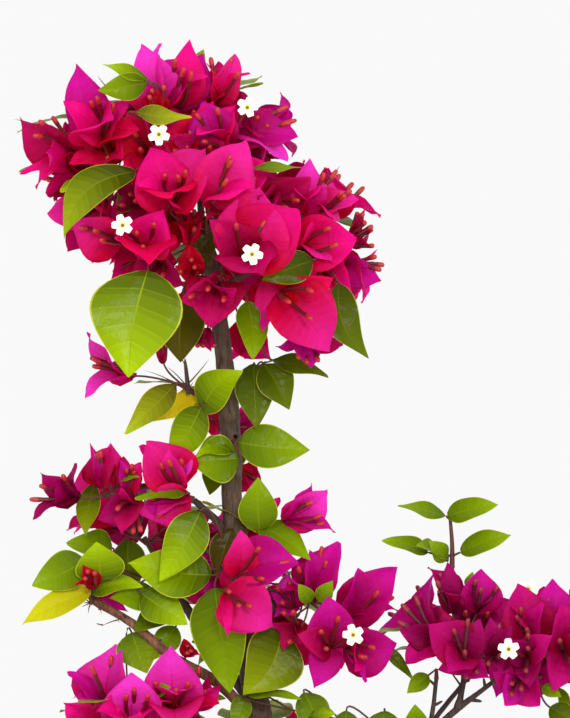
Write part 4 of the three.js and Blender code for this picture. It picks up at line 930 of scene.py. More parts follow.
def leavingPlace(grown, target):
    # The nearest of the places tried along what has grown, moved back by a share of the gap, and further
    # while another twig leaves close by
    best = None
    for parent in grown:
        reach = 1 if parent["isStem"] else twigRule["reach"]
        shares = np.arange(twigRule["tries"], reach + 1e-6, twigRule["tries"])
        gaps = np.linalg.norm(pointOn(parent["path"], shares) - target, axis=1)
        nearest = int(np.argmin(gaps))
        if best is None or gaps[nearest] < best[0]:
            best = (gaps[nearest], parent, shares[nearest])
    gap, parent, share = best
    length = lengthOf(parent["path"])
    step = twigRule["spacing"] / length
    close = step * twigRule["least"]
    root = twigRule["stemRoot"] / length if parent["isStem"] else twigRule["root"]
    share = max(share - gap * twigRule["backOff"] / length, root)
    while share - step > root and any(abs(taken - share) < close for taken in parent["taken"]):
        share -= step
    parent["taken"].append(share)
    return pointOn(parent["path"], [share])[0], mix(*parent["radii"], share), gap


def grow(name, mass):
    # Every bloom and leaf of one mass, nearest the stem's tip first, each at the end of its own twig
    blooms, leaves = list(mass["blooms"]), list(mass["leaves"])
    if "fill" in mass:
        more = filled(mass["fill"], fillRule)
        blooms, leaves = blooms + more[0], leaves + more[1]
    if name in inner:
        for found, there in zip(filled(inner[name], innerRule), (blooms, leaves)):
            for one in found:
                gaps = [np.linalg.norm(np.subtract(one[:3], other[:3])) for other in blooms + leaves]
                if not gaps or min(gaps) > innerRule["apart"]:
                    there.append(one)
    path = throughPoints([placeOn(mass["limb"], mass.get("height")), *mass["stem"]])
    radii = mass.get("stemRadii", twigRule["stemRadii"])
    grown = [{"path": path, "radii": radii, "isStem": True, "taken": []}]
    t = np.linspace(0, 1, twigRule["points"])[:, None]
    for row in sorted(blooms + leaves, key=lambda one: np.linalg.norm(np.subtract(one[:3], path[-1]))):
        at = np.array(row[:3], dtype=float)
        place, radius, gap = leavingPlace(grown, at)
        bend = at - direction(row[3], row[4]) * gap * twigRule["bend"]
        base = float(np.clip(radius * twigRule["shareOfParent"], twigRule["tipRadius"], twigRule["radius"]))
        radii = (base, twigRule["tipRadius"])
        grown.append({"path": arc(place, bend, at, t), "radii": radii, "isStem": False, "taken": []})
    return {"blooms": blooms, "leaves": leaves, "twigs": grown}


plants = {name: grow(name, mass) for name, mass in masses.items()}
counts = {kind: sum(len(plant[kind]) for plant in plants.values()) for kind in ("blooms", "leaves")}
print("grown:", counts["blooms"], "blooms,", counts["leaves"], "leaves")

# Where each mass belongs: the pieces are joined by these regions
regions = {
    "Crown": ["crown_left", "crown_top", "crown_front", "crown_right", "crown_back"],
    "Middle": [
        "shoot_left", "shoot_back", "spray_left", "leaves_left", "spray_right", "shoot_right", "shoot_low",
        "leaves_middle", "back_left", "back_right",
    ],
    "Right": ["spray_far_right", "spray_edge_right", "far_back", "twig_leaf_right", "shoot_top_right"],
    "Low": ["spray_low_left", "low_right", "low_front", "low_back"],
}


def rowsOf(region, kind):
    # The blooms or leaves of all of a region's masses
    return [row for name in regions[region] for row in plants[name][kind]]


# Veined sheets, of bracts and of leaves. The rows of points climb towards the margin as side veins do.
def veinRows(shape):
    knots = (np.arange(shape["veins"])[:, None] + np.array(shape["rowsBetween"])[None]) / shape["veins"]
    return np.append(knots.ravel(), 1.0)


def sheetGrid(shape):
    # The row's share u, the column's place v from side to side, and s, the share along at each point
    u = veinRows(shape)[:, None]
    v = np.array(shape["columns"], dtype=float)[None, :]
    return u, v, u + shape["climb"] * np.abs(v) * u * (1 - u)


def narrowed(width, shape, s):
    # A width times sin(pi s^a)^b, drawn in towards the point
    early, blunt = shape["outline"]
    drawnIn = 1 - shape["point"] * s ** shape["pointShape"]
    return width * np.abs(np.sin(np.pi * s**early)) ** blunt * drawnIn


def puffed(shape, u):
    # 0 on a vein and at both ends, and up to 1 between two veins
    return np.sin(np.pi * (u * shape["veins"] % 1)) * np.abs(np.sin(np.pi * u)) ** 0.5


def squares(shape):
    # Of each square: the share along, how far beside the middle it lies, and whether its row is a vein
    u, v = veinRows(shape), np.array(shape["columns"], dtype=float)
    middle, beside = (u[1:] + u[:-1]) / 2, np.abs(v[1:] + v[:-1]) / 2
    isVein = np.arange(len(middle)) % len(shape["rowsBetween"]) == 0
    return middle[:, None], beside[None], isVein[:, None]


# Bracts: three to a bloom. The centre line leans further from the bloom's axis as it goes and bends back
# at the point, and the face is folded along the middle, cupped, curled and waved at the margin and puffed
# between the veins.
bract = {
    "veins": 6, "rowsBetween": (0.0, 0.09, 0.55), "climb": 0.5, "width": 0.87, "outline": (0.7, 0.85),
    "point": 0.5, "pointShape": 5,
    "columns": (-1, -0.88, -0.72, -0.54, -0.36, -0.18, -0.03, 0.03, 0.18, 0.36, 0.54, 0.72, 0.88, 1),
    "lean": (14, 58), "leanShape": 1.5, "bendBack": 26, "bendShape": 5, "leanChance": 7,
    "bloomLeanChance": 11, "lineSteps": 60, "fold": (0.5, 0.16), "foldShape": 1.5, "foldBlunt": 0.01,
    "cup": 0.16, "cupChance": 0.24, "cupFrom": 0.35, "curl": 0.2, "curlShape": 8, "wave": 0.045,
    "waves": 1.7, "waveShape": 2.5, "puff": 0.3, "puffLoss": 0.5, "turnIn": 0.3, "sway": 0.02,
    "sizeChance": 0.1, "widthChance": 0.13, "twist": 12,
    "tints": ["magenta", "deep", "pink", "hot", "purple", "violet", "wine", "red", "plum"], "steps": 9,
    "stepStretch": 1.35, "stepStart": 0.12, "veinReach": 0.8, "ribReach": 0.9, "ribWidth": 0.02,
    "stepSeed": 310,
}


def bractLine():
    # The centre line at even steps: the sums of the cosine and the sine of its lean, and the lean
    share = np.linspace(0, 1, bract["lineSteps"])
    opened = 1 - (1 - share) ** bract["leanShape"]
    lean = np.radians(mix(*bract["lean"], opened) + bract["bendBack"] * share ** bract["bendShape"])
    parts = (np.cos(lean), np.sin(lean))
    sums = [np.append(0, np.cumsum((part[1:] + part[:-1]) / 2)) / (len(share) - 1) for part in parts]
    return share, *sums, lean


def bractSheets(at, axis, out, size, tilt, wide, random):
    # Each point is the bloom's middle plus the centre line, turned by the tilt, plus the lift square to the
    # line, plus half the width to the side
    u, v, s = sheetGrid(bract)
    share, *line = bractLine()
    along, outward, angle = (np.interp(s, share, x) for x in line)

    def chance(spread):
        return random.uniform(-spread, spread, (len(at), 1, 1))

    size, tilt = size[:, None, None], tilt[:, None, None]
    wide = bract["width"] * wide[:, None, None] / 2
    half = narrowed(size * wide, bract, s)
    fold = bract["fold"][0] * (1 - s) ** bract["foldShape"] + bract["fold"][1]
    cup = bract["cup"] + chance(bract["cupChance"])
    bent = fold * np.sqrt(v**2 + bract["foldBlunt"]) + cup * v**2 * (bract["cupFrom"] + s)
    lift = half * (bent - bract["curl"] * v ** bract["curlShape"])
    phase = np.pi * chance(1)
    waves = np.sin(2 * np.pi * bract["waves"] * s + phase + v)
    lift = lift + size * bract["wave"] * waves * np.abs(v) ** bract["waveShape"]
    lift = lift + bract["puff"] * puffed(bract, u) * (1 - bract["puffLoss"] * v**2)
    forward = size * (along * np.cos(tilt) - outward * np.sin(tilt)) + lift * np.sin(angle + tilt)
    outward = size * (along * np.sin(tilt) + outward * np.cos(tilt)) - lift * np.cos(angle + tilt)
    side = v * half * np.cos(bract["turnIn"] * v) + size * bract["sway"] * np.sin(np.pi * s + phase)
    return inFrame(at, (axis, out, np.cross(axis, out)), (forward, outward, side))


def bractKinds(tints):
    # Which material each square takes: the steps of its tint from the heart to the point, darkest in the
    # heart partly as painted shade in the cup, one darker in the veins and two in the rib, with each bract
    # up to a step lighter or darker as a whole
    middle, beside, isVein = squares(bract)
    share = np.clip(middle * bract["stepStretch"] - bract["stepStart"], 0, 0.999)
    isVein = isVein & (beside < bract["veinReach"])
    isRib = (beside < bract["ribWidth"]) & (middle < bract["ribReach"])
    step = np.floor(share * bract["steps"]) - isVein - 2 * isRib
    lighter = np.random.default_rng(bract["stepSeed"]).integers(-1, 2, len(tints))[:, None]
    return tints[:, None] * bract["steps"] + np.clip(step.reshape(1, -1) + lighter, 0, bract["steps"] - 1)


def aimedBract(at, axis, length, point):
    # The centre line, turned and sized so that it ends at the point
    _, along, outward, _ = bractLine()
    reach, lean = np.hypot(along[-1], outward[-1]), np.degrees(np.arctan2(outward[-1], along[-1]))
    x, z, towards, wide = point[:4]
    chord = np.array([x - at[0], 0, z - at[2]])
    chord[1] = -towards * np.sqrt(max(length**2 - chord @ chord, 0))
    size = np.linalg.norm(chord)
    chord = chord / size
    tilt = np.degrees(np.arccos(np.clip(chord @ axis, -1, 1))) - lean
    return [*squareTo(chord, axis), size / reach, np.radians(tilt), wide]


def rolledBracts(axis, length, roll, random):
    # Three, a third of a turn apart
    def chance(spread):
        return random.uniform(-1, 1) * spread

    top = squareTo(upwards, axis)
    tilt = chance(bract["bloomLeanChance"])
    made = []
    for k in range(3):
        out = turnedAbout(top, axis, np.array(roll + 120 * k + chance(bract["twist"])))
        size = length * (1 + chance(bract["sizeChance"]))
        turn = np.radians(tilt + chance(bract["leanChance"]))
        made.append([*out, size, turn, 1 + chance(bract["widthChance"])])
    return made


def flowerLines(at, axis, length, outs, ends, random):
    # Three flowers: to the ends that the row gives, and otherwise each somewhere near a bract
    made = []
    foot = np.radians(flower["footLean"])
    for k in range(3):
        span = length * random.uniform(*flower["length"])
        if k < len(ends):
            end = np.array([ends[k][0] - at[0], 0, ends[k][1] - at[2]], dtype=float)
            end[1] = -np.sqrt(max(span**2 - end @ end, flower["leastReach"] ** 2))
        else:
            swing = np.array(random.uniform(-flower["swing"], flower["swing"]))
            sway = turnedAbout(np.array(outs[k % len(outs)]), axis, swing)
            angle = np.radians(random.uniform(*flower["lean"]))
            end = span * (np.cos(angle) * axis + np.sin(angle) * sway)
        side = squareTo(unit(end), axis)
        bend = span * flower["bend"] * (np.cos(foot) * axis + np.sin(foot) * side)
        made.append([at + axis, at + bend, at + end])
    return made


def bloomsAt(rows, weights, seed):
    # Each bloom's bracts and flowers
    random = np.random.default_rng(seed)
    chances = np.array(weights) / sum(weights)
    sheets, tints, lines = [], [], []
    for row in rows:
        at, axis, length = np.array(row[:3], dtype=float), direction(row[3], row[4]), float(row[5])
        tint = row[7] if len(row) > 7 else bract["tints"][random.choice(len(chances), p=chances)]
        if isinstance(row[6], list):
            more = [aimedBract(at, axis, length, point) for point in row[6]]
            tints += [point[4] if len(point) > 4 else tint for point in row[6]]
        else:
            more = rolledBracts(axis, length, row[6], random)
            tints += [tint] * len(more)
        sheets += [[*at, *axis, *one] for one in more]
        ends = row[8] if len(row) > 8 else []
        lines += flowerLines(at, axis, length, [one[:3] for one in more], ends, random)
    values = np.array(sheets)
    numbers = np.array([bract["tints"].index(tint) for tint in tints])
    points = bractSheets(values[:, :3], values[:, 3:6], values[:, 6:9], *values[:, 9:].T, random)
    return points, numbers, tubesAlong(*np.array(lines).swapaxes(0, 1))


# Flowers: a slim tube along each bract's foot, then up out of the cup, with a blunt swollen end
flower = {
    "shares": (0, 0.15, 0.3, 0.5, 0.68, 0.8, 0.87, 0.94, 0.985, 1.0),
    "radii": (0.6, 1.0, 1.2, 1.15, 1.05, 1.1, 1.3, 1.3, 0.95, 0.0),
    "sides": 8, "length": (0.66, 0.9), "footLean": 34, "lean": (8, 30), "swing": 25, "bend": 0.4,
    "leastReach": 3, "tipFrom": 0.86,
}
ringStart = np.array([0.3, 0.2, 1.0])


def tubesAlong(start, bend, end):
    # Rings round the arc from start to end, with the radii above
    t = np.array(flower["shares"])[None, :, None]
    paths = arc(start[:, None], bend[:, None], end[:, None], t)
    radii = np.broadcast_to(np.array(flower["radii"]), paths.shape[:2])
    return tubePoints(paths, radii, flower["sides"], ringStart)


def flowerBatch(points):
    # The tubes' squares, with those past the start of the tip in the second finish
    corners = sheetCorners(len(flower["shares"]), flower["sides"], closed=True, welded=(-1,))
    share = np.array(flower["shares"])
    isTip = (share[1:] + share[:-1]) / 2 > flower["tipFrom"]
    return copies(points, corners, np.repeat(isTip.astype(int), flower["sides"]))


# Open flowers, each at the end of a tube from the nearest bloom: five notched lobes round a throat. The
# outline is a constant plus waves of five and ten to the turn.
star = {
    "places": [
        [-65, -66, 570], [-47.3, -60, 614.5], [-4, -44, 628.6], [-1.5, -82, 555.5], [48, -54, 369],
        [124.3, -54, 362], [135.5, -12, 390], [-20, 78, 590], [-72, 84, 420], [30, 88, 398], [24, -104, 290],
        [-30, 118, 300], [176, 34, 366],
    ],
    "radius": 6.1, "rings": (0, 0.14, 0.27, 0.46, 0.75, 1.0), "columns": 40, "outline": (0.78, 0.15, 0.07),
    "saucer": 0.5, "throat": 1.6, "throatWidth": 0.16, "ruffle": 0.4, "throatTo": 0.15, "ringTo": 0.3,
    "frontTo": 40, "rise": 0.1, "along": 0.25, "stop": 2, "sag": 3, "seed": 71,
}


def starSheets(places, faces, random):
    # Rings that take up the outline with the square of their share, raised with the same square, less
    # exp(-(ring / width)^2) for the throat, and ruffled with ten waves
    turn = angles(star["columns"])
    ring = np.array(star["rings"])[:, None]
    level, five, ten = star["outline"]
    edge = level + five * np.cos(5 * turn) - ten * np.cos(10 * turn)
    r = star["radius"] * ring * (1 + (edge - 1) * ring**2)
    throat = star["throat"] * np.exp(-((ring / star["throatWidth"]) ** 2))
    lift = star["saucer"] * ring**2 - throat + star["ruffle"] * ring * np.cos(10 * turn)
    first = turnedAbout(squareTo(upwards, faces), faces, random.uniform(0, 72, len(places)))
    return inFrame(places, (first, np.cross(faces, first), faces), (r * np.cos(turn), r * np.sin(turn), lift))


# Leaves: sheets with columns for the rib and the pale margin. The face is folded up along the rib, droops
# with the square of the share, and bows to one side.
leaf = {
    "veins": 6, "rowsBetween": (0.0, 0.07, 0.35, 0.68), "climb": 0.5, "outline": (0.72, 0.92),
    "point": 0.1, "pointShape": 3,
    "columns": (-1, -0.96, -0.78, -0.52, -0.26, -0.022, 0.022, 0.26, 0.52, 0.78, 0.96, 1),
    "fold": 0.24, "foldBlunt": 0.004, "droop": 0.1, "droopChance": 0.07, "wave": 0.026, "waves": 1.4,
    "puff": 0.35, "puffSlope": 4, "roll": 0.12, "bow": 0.05,
    "tints": ["green", "fresh", "dark", "yellow", "olive", "shaded", "shadow", "amber"],
    "weights": [46, 20, 22, 4, 0, 8, 0, 0], "steps": 12, "veinFrom": 0.05, "veinReach": 0.75,
    "ribWidth": 0.02, "marginFrom": 0.95,
}


def leafTints(rows, seed):
    # The number of each row's tint: its own where it has one, and otherwise by chance
    names, weights = leaf["tints"], np.array(leaf["weights"])
    picks = np.random.default_rng(seed).choice(len(names), len(rows), p=weights / sum(weights))
    return np.array([names.index(row[9]) if len(row) > 9 else pick for row, pick in zip(rows, picks)], int)


def leafSheets(rows, random):
    # Each point is the stalk's end plus its share of the length along, half the width and the bow to the
    # side, and the lift of the face
    values = np.array([row[:9] for row in rows], dtype=float)
    at, length, width = values[:, :3], values[:, 5, None, None], values[:, 6, None, None]
    along = direction(values[:, 3], values[:, 4])
    face = squareTo(direction(values[:, 7], values[:, 8]), along)
    u, v, s = sheetGrid(leaf)
    half = narrowed(width / 2, leaf, s)
    phase = random.uniform(0, 2 * np.pi, (len(rows), 1, 1))
    droop = leaf["droop"] + random.uniform(-1, 1, (len(rows), 1, 1)) * leaf["droopChance"]
    lift = half * (leaf["fold"] * np.sqrt(v**2 + leaf["foldBlunt"]) - leaf["roll"] * v**2)
    lift = lift - length * droop * s**2
    lift = lift + length * leaf["wave"] * np.sin(2 * np.pi * leaf["waves"] * s + phase + 2 * v) * v**2
    lift = lift + leaf["puff"] * puffed(leaf, u) * (1 - v**2) * np.minimum(np.abs(v) * leaf["puffSlope"], 1)
    bow = np.array([row[10] if len(row) > 10 else random.uniform(-1, 1) * leaf["bow"] for row in rows])
    side = v * half + length * bow[:, None, None] * np.sin(np.pi * s)
    return inFrame(at, (along, np.cross(face, along), face), (s * length, side, lift))


def leafKinds(tints):
    # Steps of the tint from the stalk to the point, darker at the stalk partly as painted shade, then the
    # tint's vein and its margin
    middle, beside, isVein = squares(leaf)
    isVein = isVein & (middle > leaf["veinFrom"]) & (beside < leaf["veinReach"])
    kind = np.minimum(np.floor(middle * leaf["steps"]) + isVein, leaf["steps"] - 1)
    kind = np.where(beside < leaf["ribWidth"], leaf["steps"], kind)
    kind = np.where(beside > leaf["marginFrom"], leaf["steps"] + 1, kind)
    return tints[:, None] * (leaf["steps"] + 2) + kind.reshape(1, -1)


# Finishes of the plant. Each tint is a row of plain colours, and light comes through the sheets.
bractColours = {
    # the heart of the bloom, and the point: partly the bracts' own colour and partly painted light, with the
    # heart darker as painted shade in the cup and the point lighter with a painted violet sheen. 'deep' is
    # also given to bracts that lie in shade, as painted shade
    "magenta": (srgb(186, 0, 30), srgb(230, 10, 130)),
    "deep": (srgb(132, 0, 20), srgb(188, 8, 92)),
    "pink": (srgb(194, 2, 52), srgb(230, 34, 148)),
    "hot": (srgb(190, 0, 18), srgb(226, 6, 86)),
    "purple": (srgb(152, 0, 68), srgb(198, 14, 146)),
    "violet": (srgb(190, 4, 92), srgb(238, 54, 198)),
    "wine": (srgb(96, 0, 28), srgb(160, 6, 94)),
    "red": (srgb(138, 0, 8), srgb(186, 2, 30)),
    "plum": (srgb(140, 0, 44), srgb(192, 8, 118)),
}
# How often each tint comes, in the order above, in each region
bractWeights = {
    "Crown": [38, 28, 10, 20, 2, 0, 2, 0], "Middle": [30, 20, 14, 6, 26, 2, 2, 0],
    "Right": [10, 30, 0, 4, 22, 0, 34, 0], "Low": [26, 10, 30, 4, 28, 2, 0, 0],
}
leafColours = {
    # the stalk's end, darker partly as painted shade, and the point. 'dark', 'shaded' and 'shadow' are darker
    # copies of the green, painted shade for leaves that lie in shadow or show their underside
    "green": (srgb(72, 94, 1), srgb(126, 154, 2)),
    "fresh": (srgb(62, 80, 1), srgb(158, 188, 3)),
    "dark": (srgb(48, 62, 2), srgb(86, 102, 3)),
    "yellow": (srgb(160, 152, 4), srgb(196, 194, 12)),
    "olive": (srgb(84, 76, 12), srgb(168, 182, 22)),
    "shaded": (srgb(46, 54, 2), srgb(140, 158, 4)),
    "shadow": (srgb(54, 44, 3), srgb(74, 62, 5)),
    "amber": (srgb(204, 166, 10), srgb(224, 206, 30)),
}
# A leaf's veins and its margin: which step of its tint, and how far towards the pale colour
pale = {"colour": srgb(214, 204, 60), "vein": (5, 0.1), "margin": (6, 0.38)}
paper = {
    "roughness": 0.45, "shine": 0.05, "through": 0.34, "glow": (0.9, 0.003, 0.16), "glowShare": 0.35,
    "crumple": 700, "crease": 170, "fine": 0.35, "depth": 0.0009,
}
gloss = {
    "roughness": 0.26, "shine": 0.06, "through": 0.2, "glow": (0.5, 0.62, 0.005), "glowShare": 0.3,
    "crumple": 420, "crease": 130, "fine": 0.3, "depth": 0.0006,
}


def thinSheet(name, colour, look):
    # A sheet that lets light through: a Principled surface mixed with a Translucent one
    finish = Finish(name)
    grain = finish.noise(look["crumple"], 3) * look["fine"] + finish.noise(look["crease"], 2)
    normal = finish.bump(grain, look["depth"])
    surface = finish.surface(colour, look["roughness"], normal, Specular_IOR_Level=look["shine"])
    behind = finish.node("BsdfTranslucent", Color=blended(colour, look["glow"], look["glowShare"]))
    return finish.done(finish.node("MixShader", n0=look["through"], n1=surface, n2=behind))


def tintSteps(ends, count):
    # Even steps from one colour to the other
    return [blended(*ends, step / (count - 1)) for step in range(count)]


def bractMaterials():
    made = []
    for tint in bract["tints"]:
        for step, colour in enumerate(tintSteps(bractColours[tint], bract["steps"])):
            made.append(thinSheet(f"bract-{tint}-{step}", colour, paper))
    return made


def leafMaterials():
    made = []
    for tint in leaf["tints"]:
        steps = tintSteps(leafColours[tint], leaf["steps"])
        lines = (pale["vein"], pale["margin"])
        paler = [blended(steps[step], pale["colour"], share) for step, share in lines]
        for step, colour in enumerate(steps + paler):
            made.append(thinSheet(f"leaf-{tint}-{step}", colour, gloss))
    return made


def plainFinish(name, colour, roughness, crumple=900, depth=0.0001):
    finish = Finish(name)
    normal = finish.bump(finish.noise(crumple, 4), depth)
    return finish.done(finish.surface(colour, roughness, normal))


bracts, leaves = bractMaterials(), leafMaterials()
tubeFinishes = [
    plainFinish("tube-maroon", srgb(106, 4, 20), 0.5), plainFinish("tube-coral", srgb(170, 26, 26), 0.45),
]
darkTubeFinishes = [
    plainFinish("tube-wine", srgb(78, 4, 22), 0.5), plainFinish("tube-red", srgb(132, 14, 26), 0.45),
]
# The throat's dark olive is painted shade in the mouth of the flower's tube; the ring and lobes are its own
# pale yellow and cream
starFinishes = [
    plainFinish("star-throat", srgb(118, 98, 30), 0.6), plainFinish("star-lobe", srgb(238, 228, 212), 0.6),
    plainFinish("star-ring", srgb(226, 212, 128), 0.6),
]
twigFinish = plainFinish("twig", srgb(84, 44, 34), 0.7, 1400, 0.0002)
driedFinish = plainFinish("dried", srgb(104, 56, 26), 0.85, 1400, 0.0003)
print("plant finishes made")


# The plant's pieces, region by region
def starBatches():
    # Each stands at the end of a tube from the nearest bloom and faces the viewer, or away at the back
    places = np.array(star["places"], dtype=float)
    points = np.array([row[:3] for plant in plants.values() for row in plant["blooms"]], dtype=float)
    gaps = np.linalg.norm(points[None] - places[:, None], axis=2)
    nearest = points[gaps.argmin(axis=1)]
    front, back = [[0.0, -1.0, star["rise"]]], [[0.0, 1.0, star["rise"]]]
    forward = np.where(places[:, 1:2] < star["frontTo"], front, back)
    faces = unit(forward + star["along"] * unit(places - nearest))
    middle = (nearest + places) / 2 - faces * star["sag"]
    tubes = tubesAlong(nearest, middle, places - faces * star["stop"])
    sheets = starSheets(places, faces, np.random.default_rng(star["seed"]))
    corners = sheetCorners(len(star["rings"]), star["columns"], closed=True, welded=(0,))
    ring = np.array(star["rings"])
    middle = (ring[1:] + ring[:-1]) / 2
    finish = np.where(middle < star["throatTo"], 0, np.where(middle < star["ringTo"], 2, 1))
    return flowerBatch(tubes), copies(sheets, corners, np.repeat(finish, star["columns"]))


def twigBatches(names):
    # The twigs of some masses, all of one layout, and then each mass's stem
    twigs = [twig for name in names for twig in plants[name]["twigs"] if not twig["isStem"]]
    share = np.linspace(0, 1, twigRule["points"])[None]
    ends = np.array([twig["radii"] for twig in twigs])
    radii = ends[:, :1] * (1 - share) + ends[:, 1:] * share
    points = tubePoints(np.array([twig["path"] for twig in twigs]), radii, twigRule["sides"], twigStart)
    batches = [copies(points, sheetCorners(twigRule["points"], twigRule["sides"], closed=True), 0)]
    for name in names:
        stem = plants[name]["twigs"][0]
        path = stem["path"][None]
        radii = mix(*stem["radii"], np.linspace(0, 1, path.shape[1])[None])
        points = tubePoints(path, radii, twigRule["stemSides"], twigStart)
        batches.append(copies(points, sheetCorners(path.shape[1], twigRule["stemSides"], closed=True), 0))
    return batches


twigStart = np.array([0.2, 0.1, 1.0])
seeds = {"blooms": 200, "leafTints": 400, "leaves": 500}
starTubes, stars = starBatches()
sheetLayout = sheetCorners(len(veinRows(bract)), len(bract["columns"]), welded=(0, -1))
leafLayout = sheetCorners(len(veinRows(leaf)), len(leaf["columns"]), welded=(0, -1))
total = 0
for number, (region, names) in enumerate(regions.items()):
    nodes = ["mass_" + name for name in names]
    rows = rowsOf(region, "blooms")
    points, tints, tubes = bloomsAt(rows, bractWeights[region], seeds["blooms"] + number)
    batches = [copies(points, sheetLayout, bractKinds(tints))]
    total += makePiece("bracts" + region, batches, bracts, nodes)
    batches = [flowerBatch(tubes)] + ([starTubes] if region == "Crown" else [])
    finishes = darkTubeFinishes if region == "Right" else tubeFinishes
    total += makePiece("flowers" + region, batches, finishes)
    rows = rowsOf(region, "leaves")
    kinds = leafKinds(leafTints(rows, seeds["leafTints"] + number))
    points = leafSheets(rows, np.random.default_rng(seeds["leaves"] + number))
    total += makePiece("leaves" + region, [copies(points, leafLayout, kinds)], leaves)
    total += makePiece("twigs" + region, twigBatches(names), [twigFinish])
total += makePiece("stars", [stars], starFinishes)

# Dried styles and flower remains: thin black spikes at the edge of the crown, a shaggy brown head at the
# tip of the dry bough, and a small one on the stem
dried = {
    "spikes": [
        [[-108, -8, 620], [-121, -9, 624]], [[-70, -14, 637], [-79, -15, 646]],
        [[48, -6, 585], [55, -6, 591]], [[38, -8, 594], [42, -8, 601]], [[-34, -8, 490], [-35, -9, 506]],
        [[-34, -8, 490], [-45, -9, 501]], [[-33, -8, 493], [-23, -9, 505]],
        [[-35, -8, 489], [-56, -9, 499]], [[-34, -8, 497], [-40, -9, 508]],
        [[-69, -12, 374.5], [-77, -13, 371.5]], [[-76, -13, 372], [-79, -13, 373]],
    ],
    "heads": [
        [-82, -12, 383, 16, 9], [-76, -12, 380, 8, 6], [-68, -12, 376, 6, 5], [-34, -8, 490, 8, 5],
        [-38, -8, 437, 7, 5],
    ],
    "rise": (-50, 80), "shares": (0.5, 1), "radius": 0.42, "taper": 0.6, "stray": 1.2, "points": 6,
    "sides": 5, "seed": 81,
}


def driedBatch():
    # Spikes from point to point, and round each head as many as it says, bent a little and tapered
    random = np.random.default_rng(dried["seed"])
    spikes = np.array(dried["spikes"], dtype=float)
    start, end = [spikes[:, 0]], [spikes[:, 1]]
    for x, y, z, count, reach in dried["heads"]:
        heading, rise = random.uniform(-180, 180, count), random.uniform(*dried["rise"], count)
        middle = np.array([[x, y, z]], dtype=float)
        start.append(np.repeat(middle, count, axis=0))
        share = random.uniform(*dried["shares"], (count, 1))
        end.append(middle + direction(heading, rise) * share * reach)
    start, end = np.concatenate(start), np.concatenate(end)
    bend = (start + end) / 2 + random.normal(0, dried["stray"], start.shape)
    t = np.linspace(0, 1, dried["points"])[None, :, None]
    paths = arc(start[:, None], bend[:, None], end[:, None], t)
    radii = dried["radius"] * (1 - t[..., 0]) ** dried["taper"] * np.ones((len(start), 1))
    points = tubePoints(paths, radii, dried["sides"], ringStart)
    return copies(points, sheetCorners(dried["points"], dried["sides"], closed=True, welded=(-1,)), 0)


total += makePiece("driedFlowers", [driedBatch()], [driedFinish])

# Bark: rings round each limb's route, with long ridges, swellings where something grows, and small pores
bark = {
    "trunkRings": 420, "trunkSides": 72, "boughStep": 1.1, "boughSides": 30, "ridge": 0.05, "fine": 0.03,
    "pore": 0.09, "pores": 0.35, "swell": 0.16, "swellLength": 5, "collar": 0.55, "collarLength": 4,
    "rootLobes": 5, "rootDepth": 0.3, "rootHeight": 14, "rootTurn": 0.6, "leastRings": 24,
    "trunkRidges": 10, "boughRidges": 7,
    # of the ridges, the fine grain and the pores: length of a cell, fewest along, and times the ridges round
    "layers": ((9, 3, 1), (1.6, 6, 3), (2.4, 6, 2)),
}
viewer = np.array([0.0, -1.0, 0.0])


def childHeights(name):
    # Heights at which boughs and masses leave a limb
    growing = [*limbs.values(), *masses.values()]
    return [one["height"] for one in growing if one.get("limb") == name and "height" in one]


def barkTube(name, seed, kind=0):
    # The trunk has lobes that fade above its foot, and a bough a collar where it leaves its limb
    isTrunk = name == "trunk"
    path = limbPaths[name]
    length = lengthOf(path)
    rings = bark["trunkRings"] if isTrunk else max(int(length / bark["boughStep"]), bark["leastRings"])
    sides = bark["trunkSides"] if isTrunk else bark["boughSides"]
    share = np.linspace(0, 1, rings)
    line = pointOn(path, share)
    if isTrunk:
        radius = trunkRadius(share)
        fade = bark["rootDepth"] * np.exp(-share * length / bark["rootHeight"])[:, None]
        lobes = 1 + fade * np.cos(bark["rootLobes"] * angles(sides) + bark["rootTurn"])
    else:
        radius = mix(*limbs[name]["radii"], share)
        radius = radius * (1 + bark["collar"] * np.exp(-((share * length / bark["collarLength"]) ** 2)))
        lobes = 1
    for height in childHeights(name):
        above = (line[:, 2] - height) / bark["swellLength"]
        radius = radius * (1 + bark["swell"] * np.exp(-(above**2)))
    around = bark["trunkRidges"] if isTrunk else bark["boughRidges"]
    layers = []
    for number, (size, least, times) in enumerate(bark["layers"]):
        cells = (max(int(length / size), least), around * times)
        layers.append(latticeNoise((rings, sides), cells, seed + number))
    ridges, fine, spots = layers
    relief = 1 + bark["ridge"] * (1 - 2 * np.abs(ridges)) + bark["fine"] * fine
    relief = (relief + bark["pore"] * np.maximum(spots - bark["pores"], 0)) * lobes
    points = tubePoints(line[None], radius[None], sides, viewer, relief[None])
    tip = line[None, -1:, None] + np.zeros((1, 1, sides, 3))
    corners = sheetCorners(rings + 1, sides, closed=True, welded=(-1,))
    return copies(np.concatenate([points, tip], axis=1), corners, kind)


barkLook = {
    "patches": 140, "patchEdge": (0.3, 0.7), "streaks": (900, 900, 120), "streakEdge": (0.5, 0.66),
    "grain": 1600, "streakShare": 0.7, "grainShare": 0.3, "depth": 0.0005, "shine": 300,
    "shineEdge": (0.2, 0.8), "roughness": 0.68, "roughChance": 0.2,
}


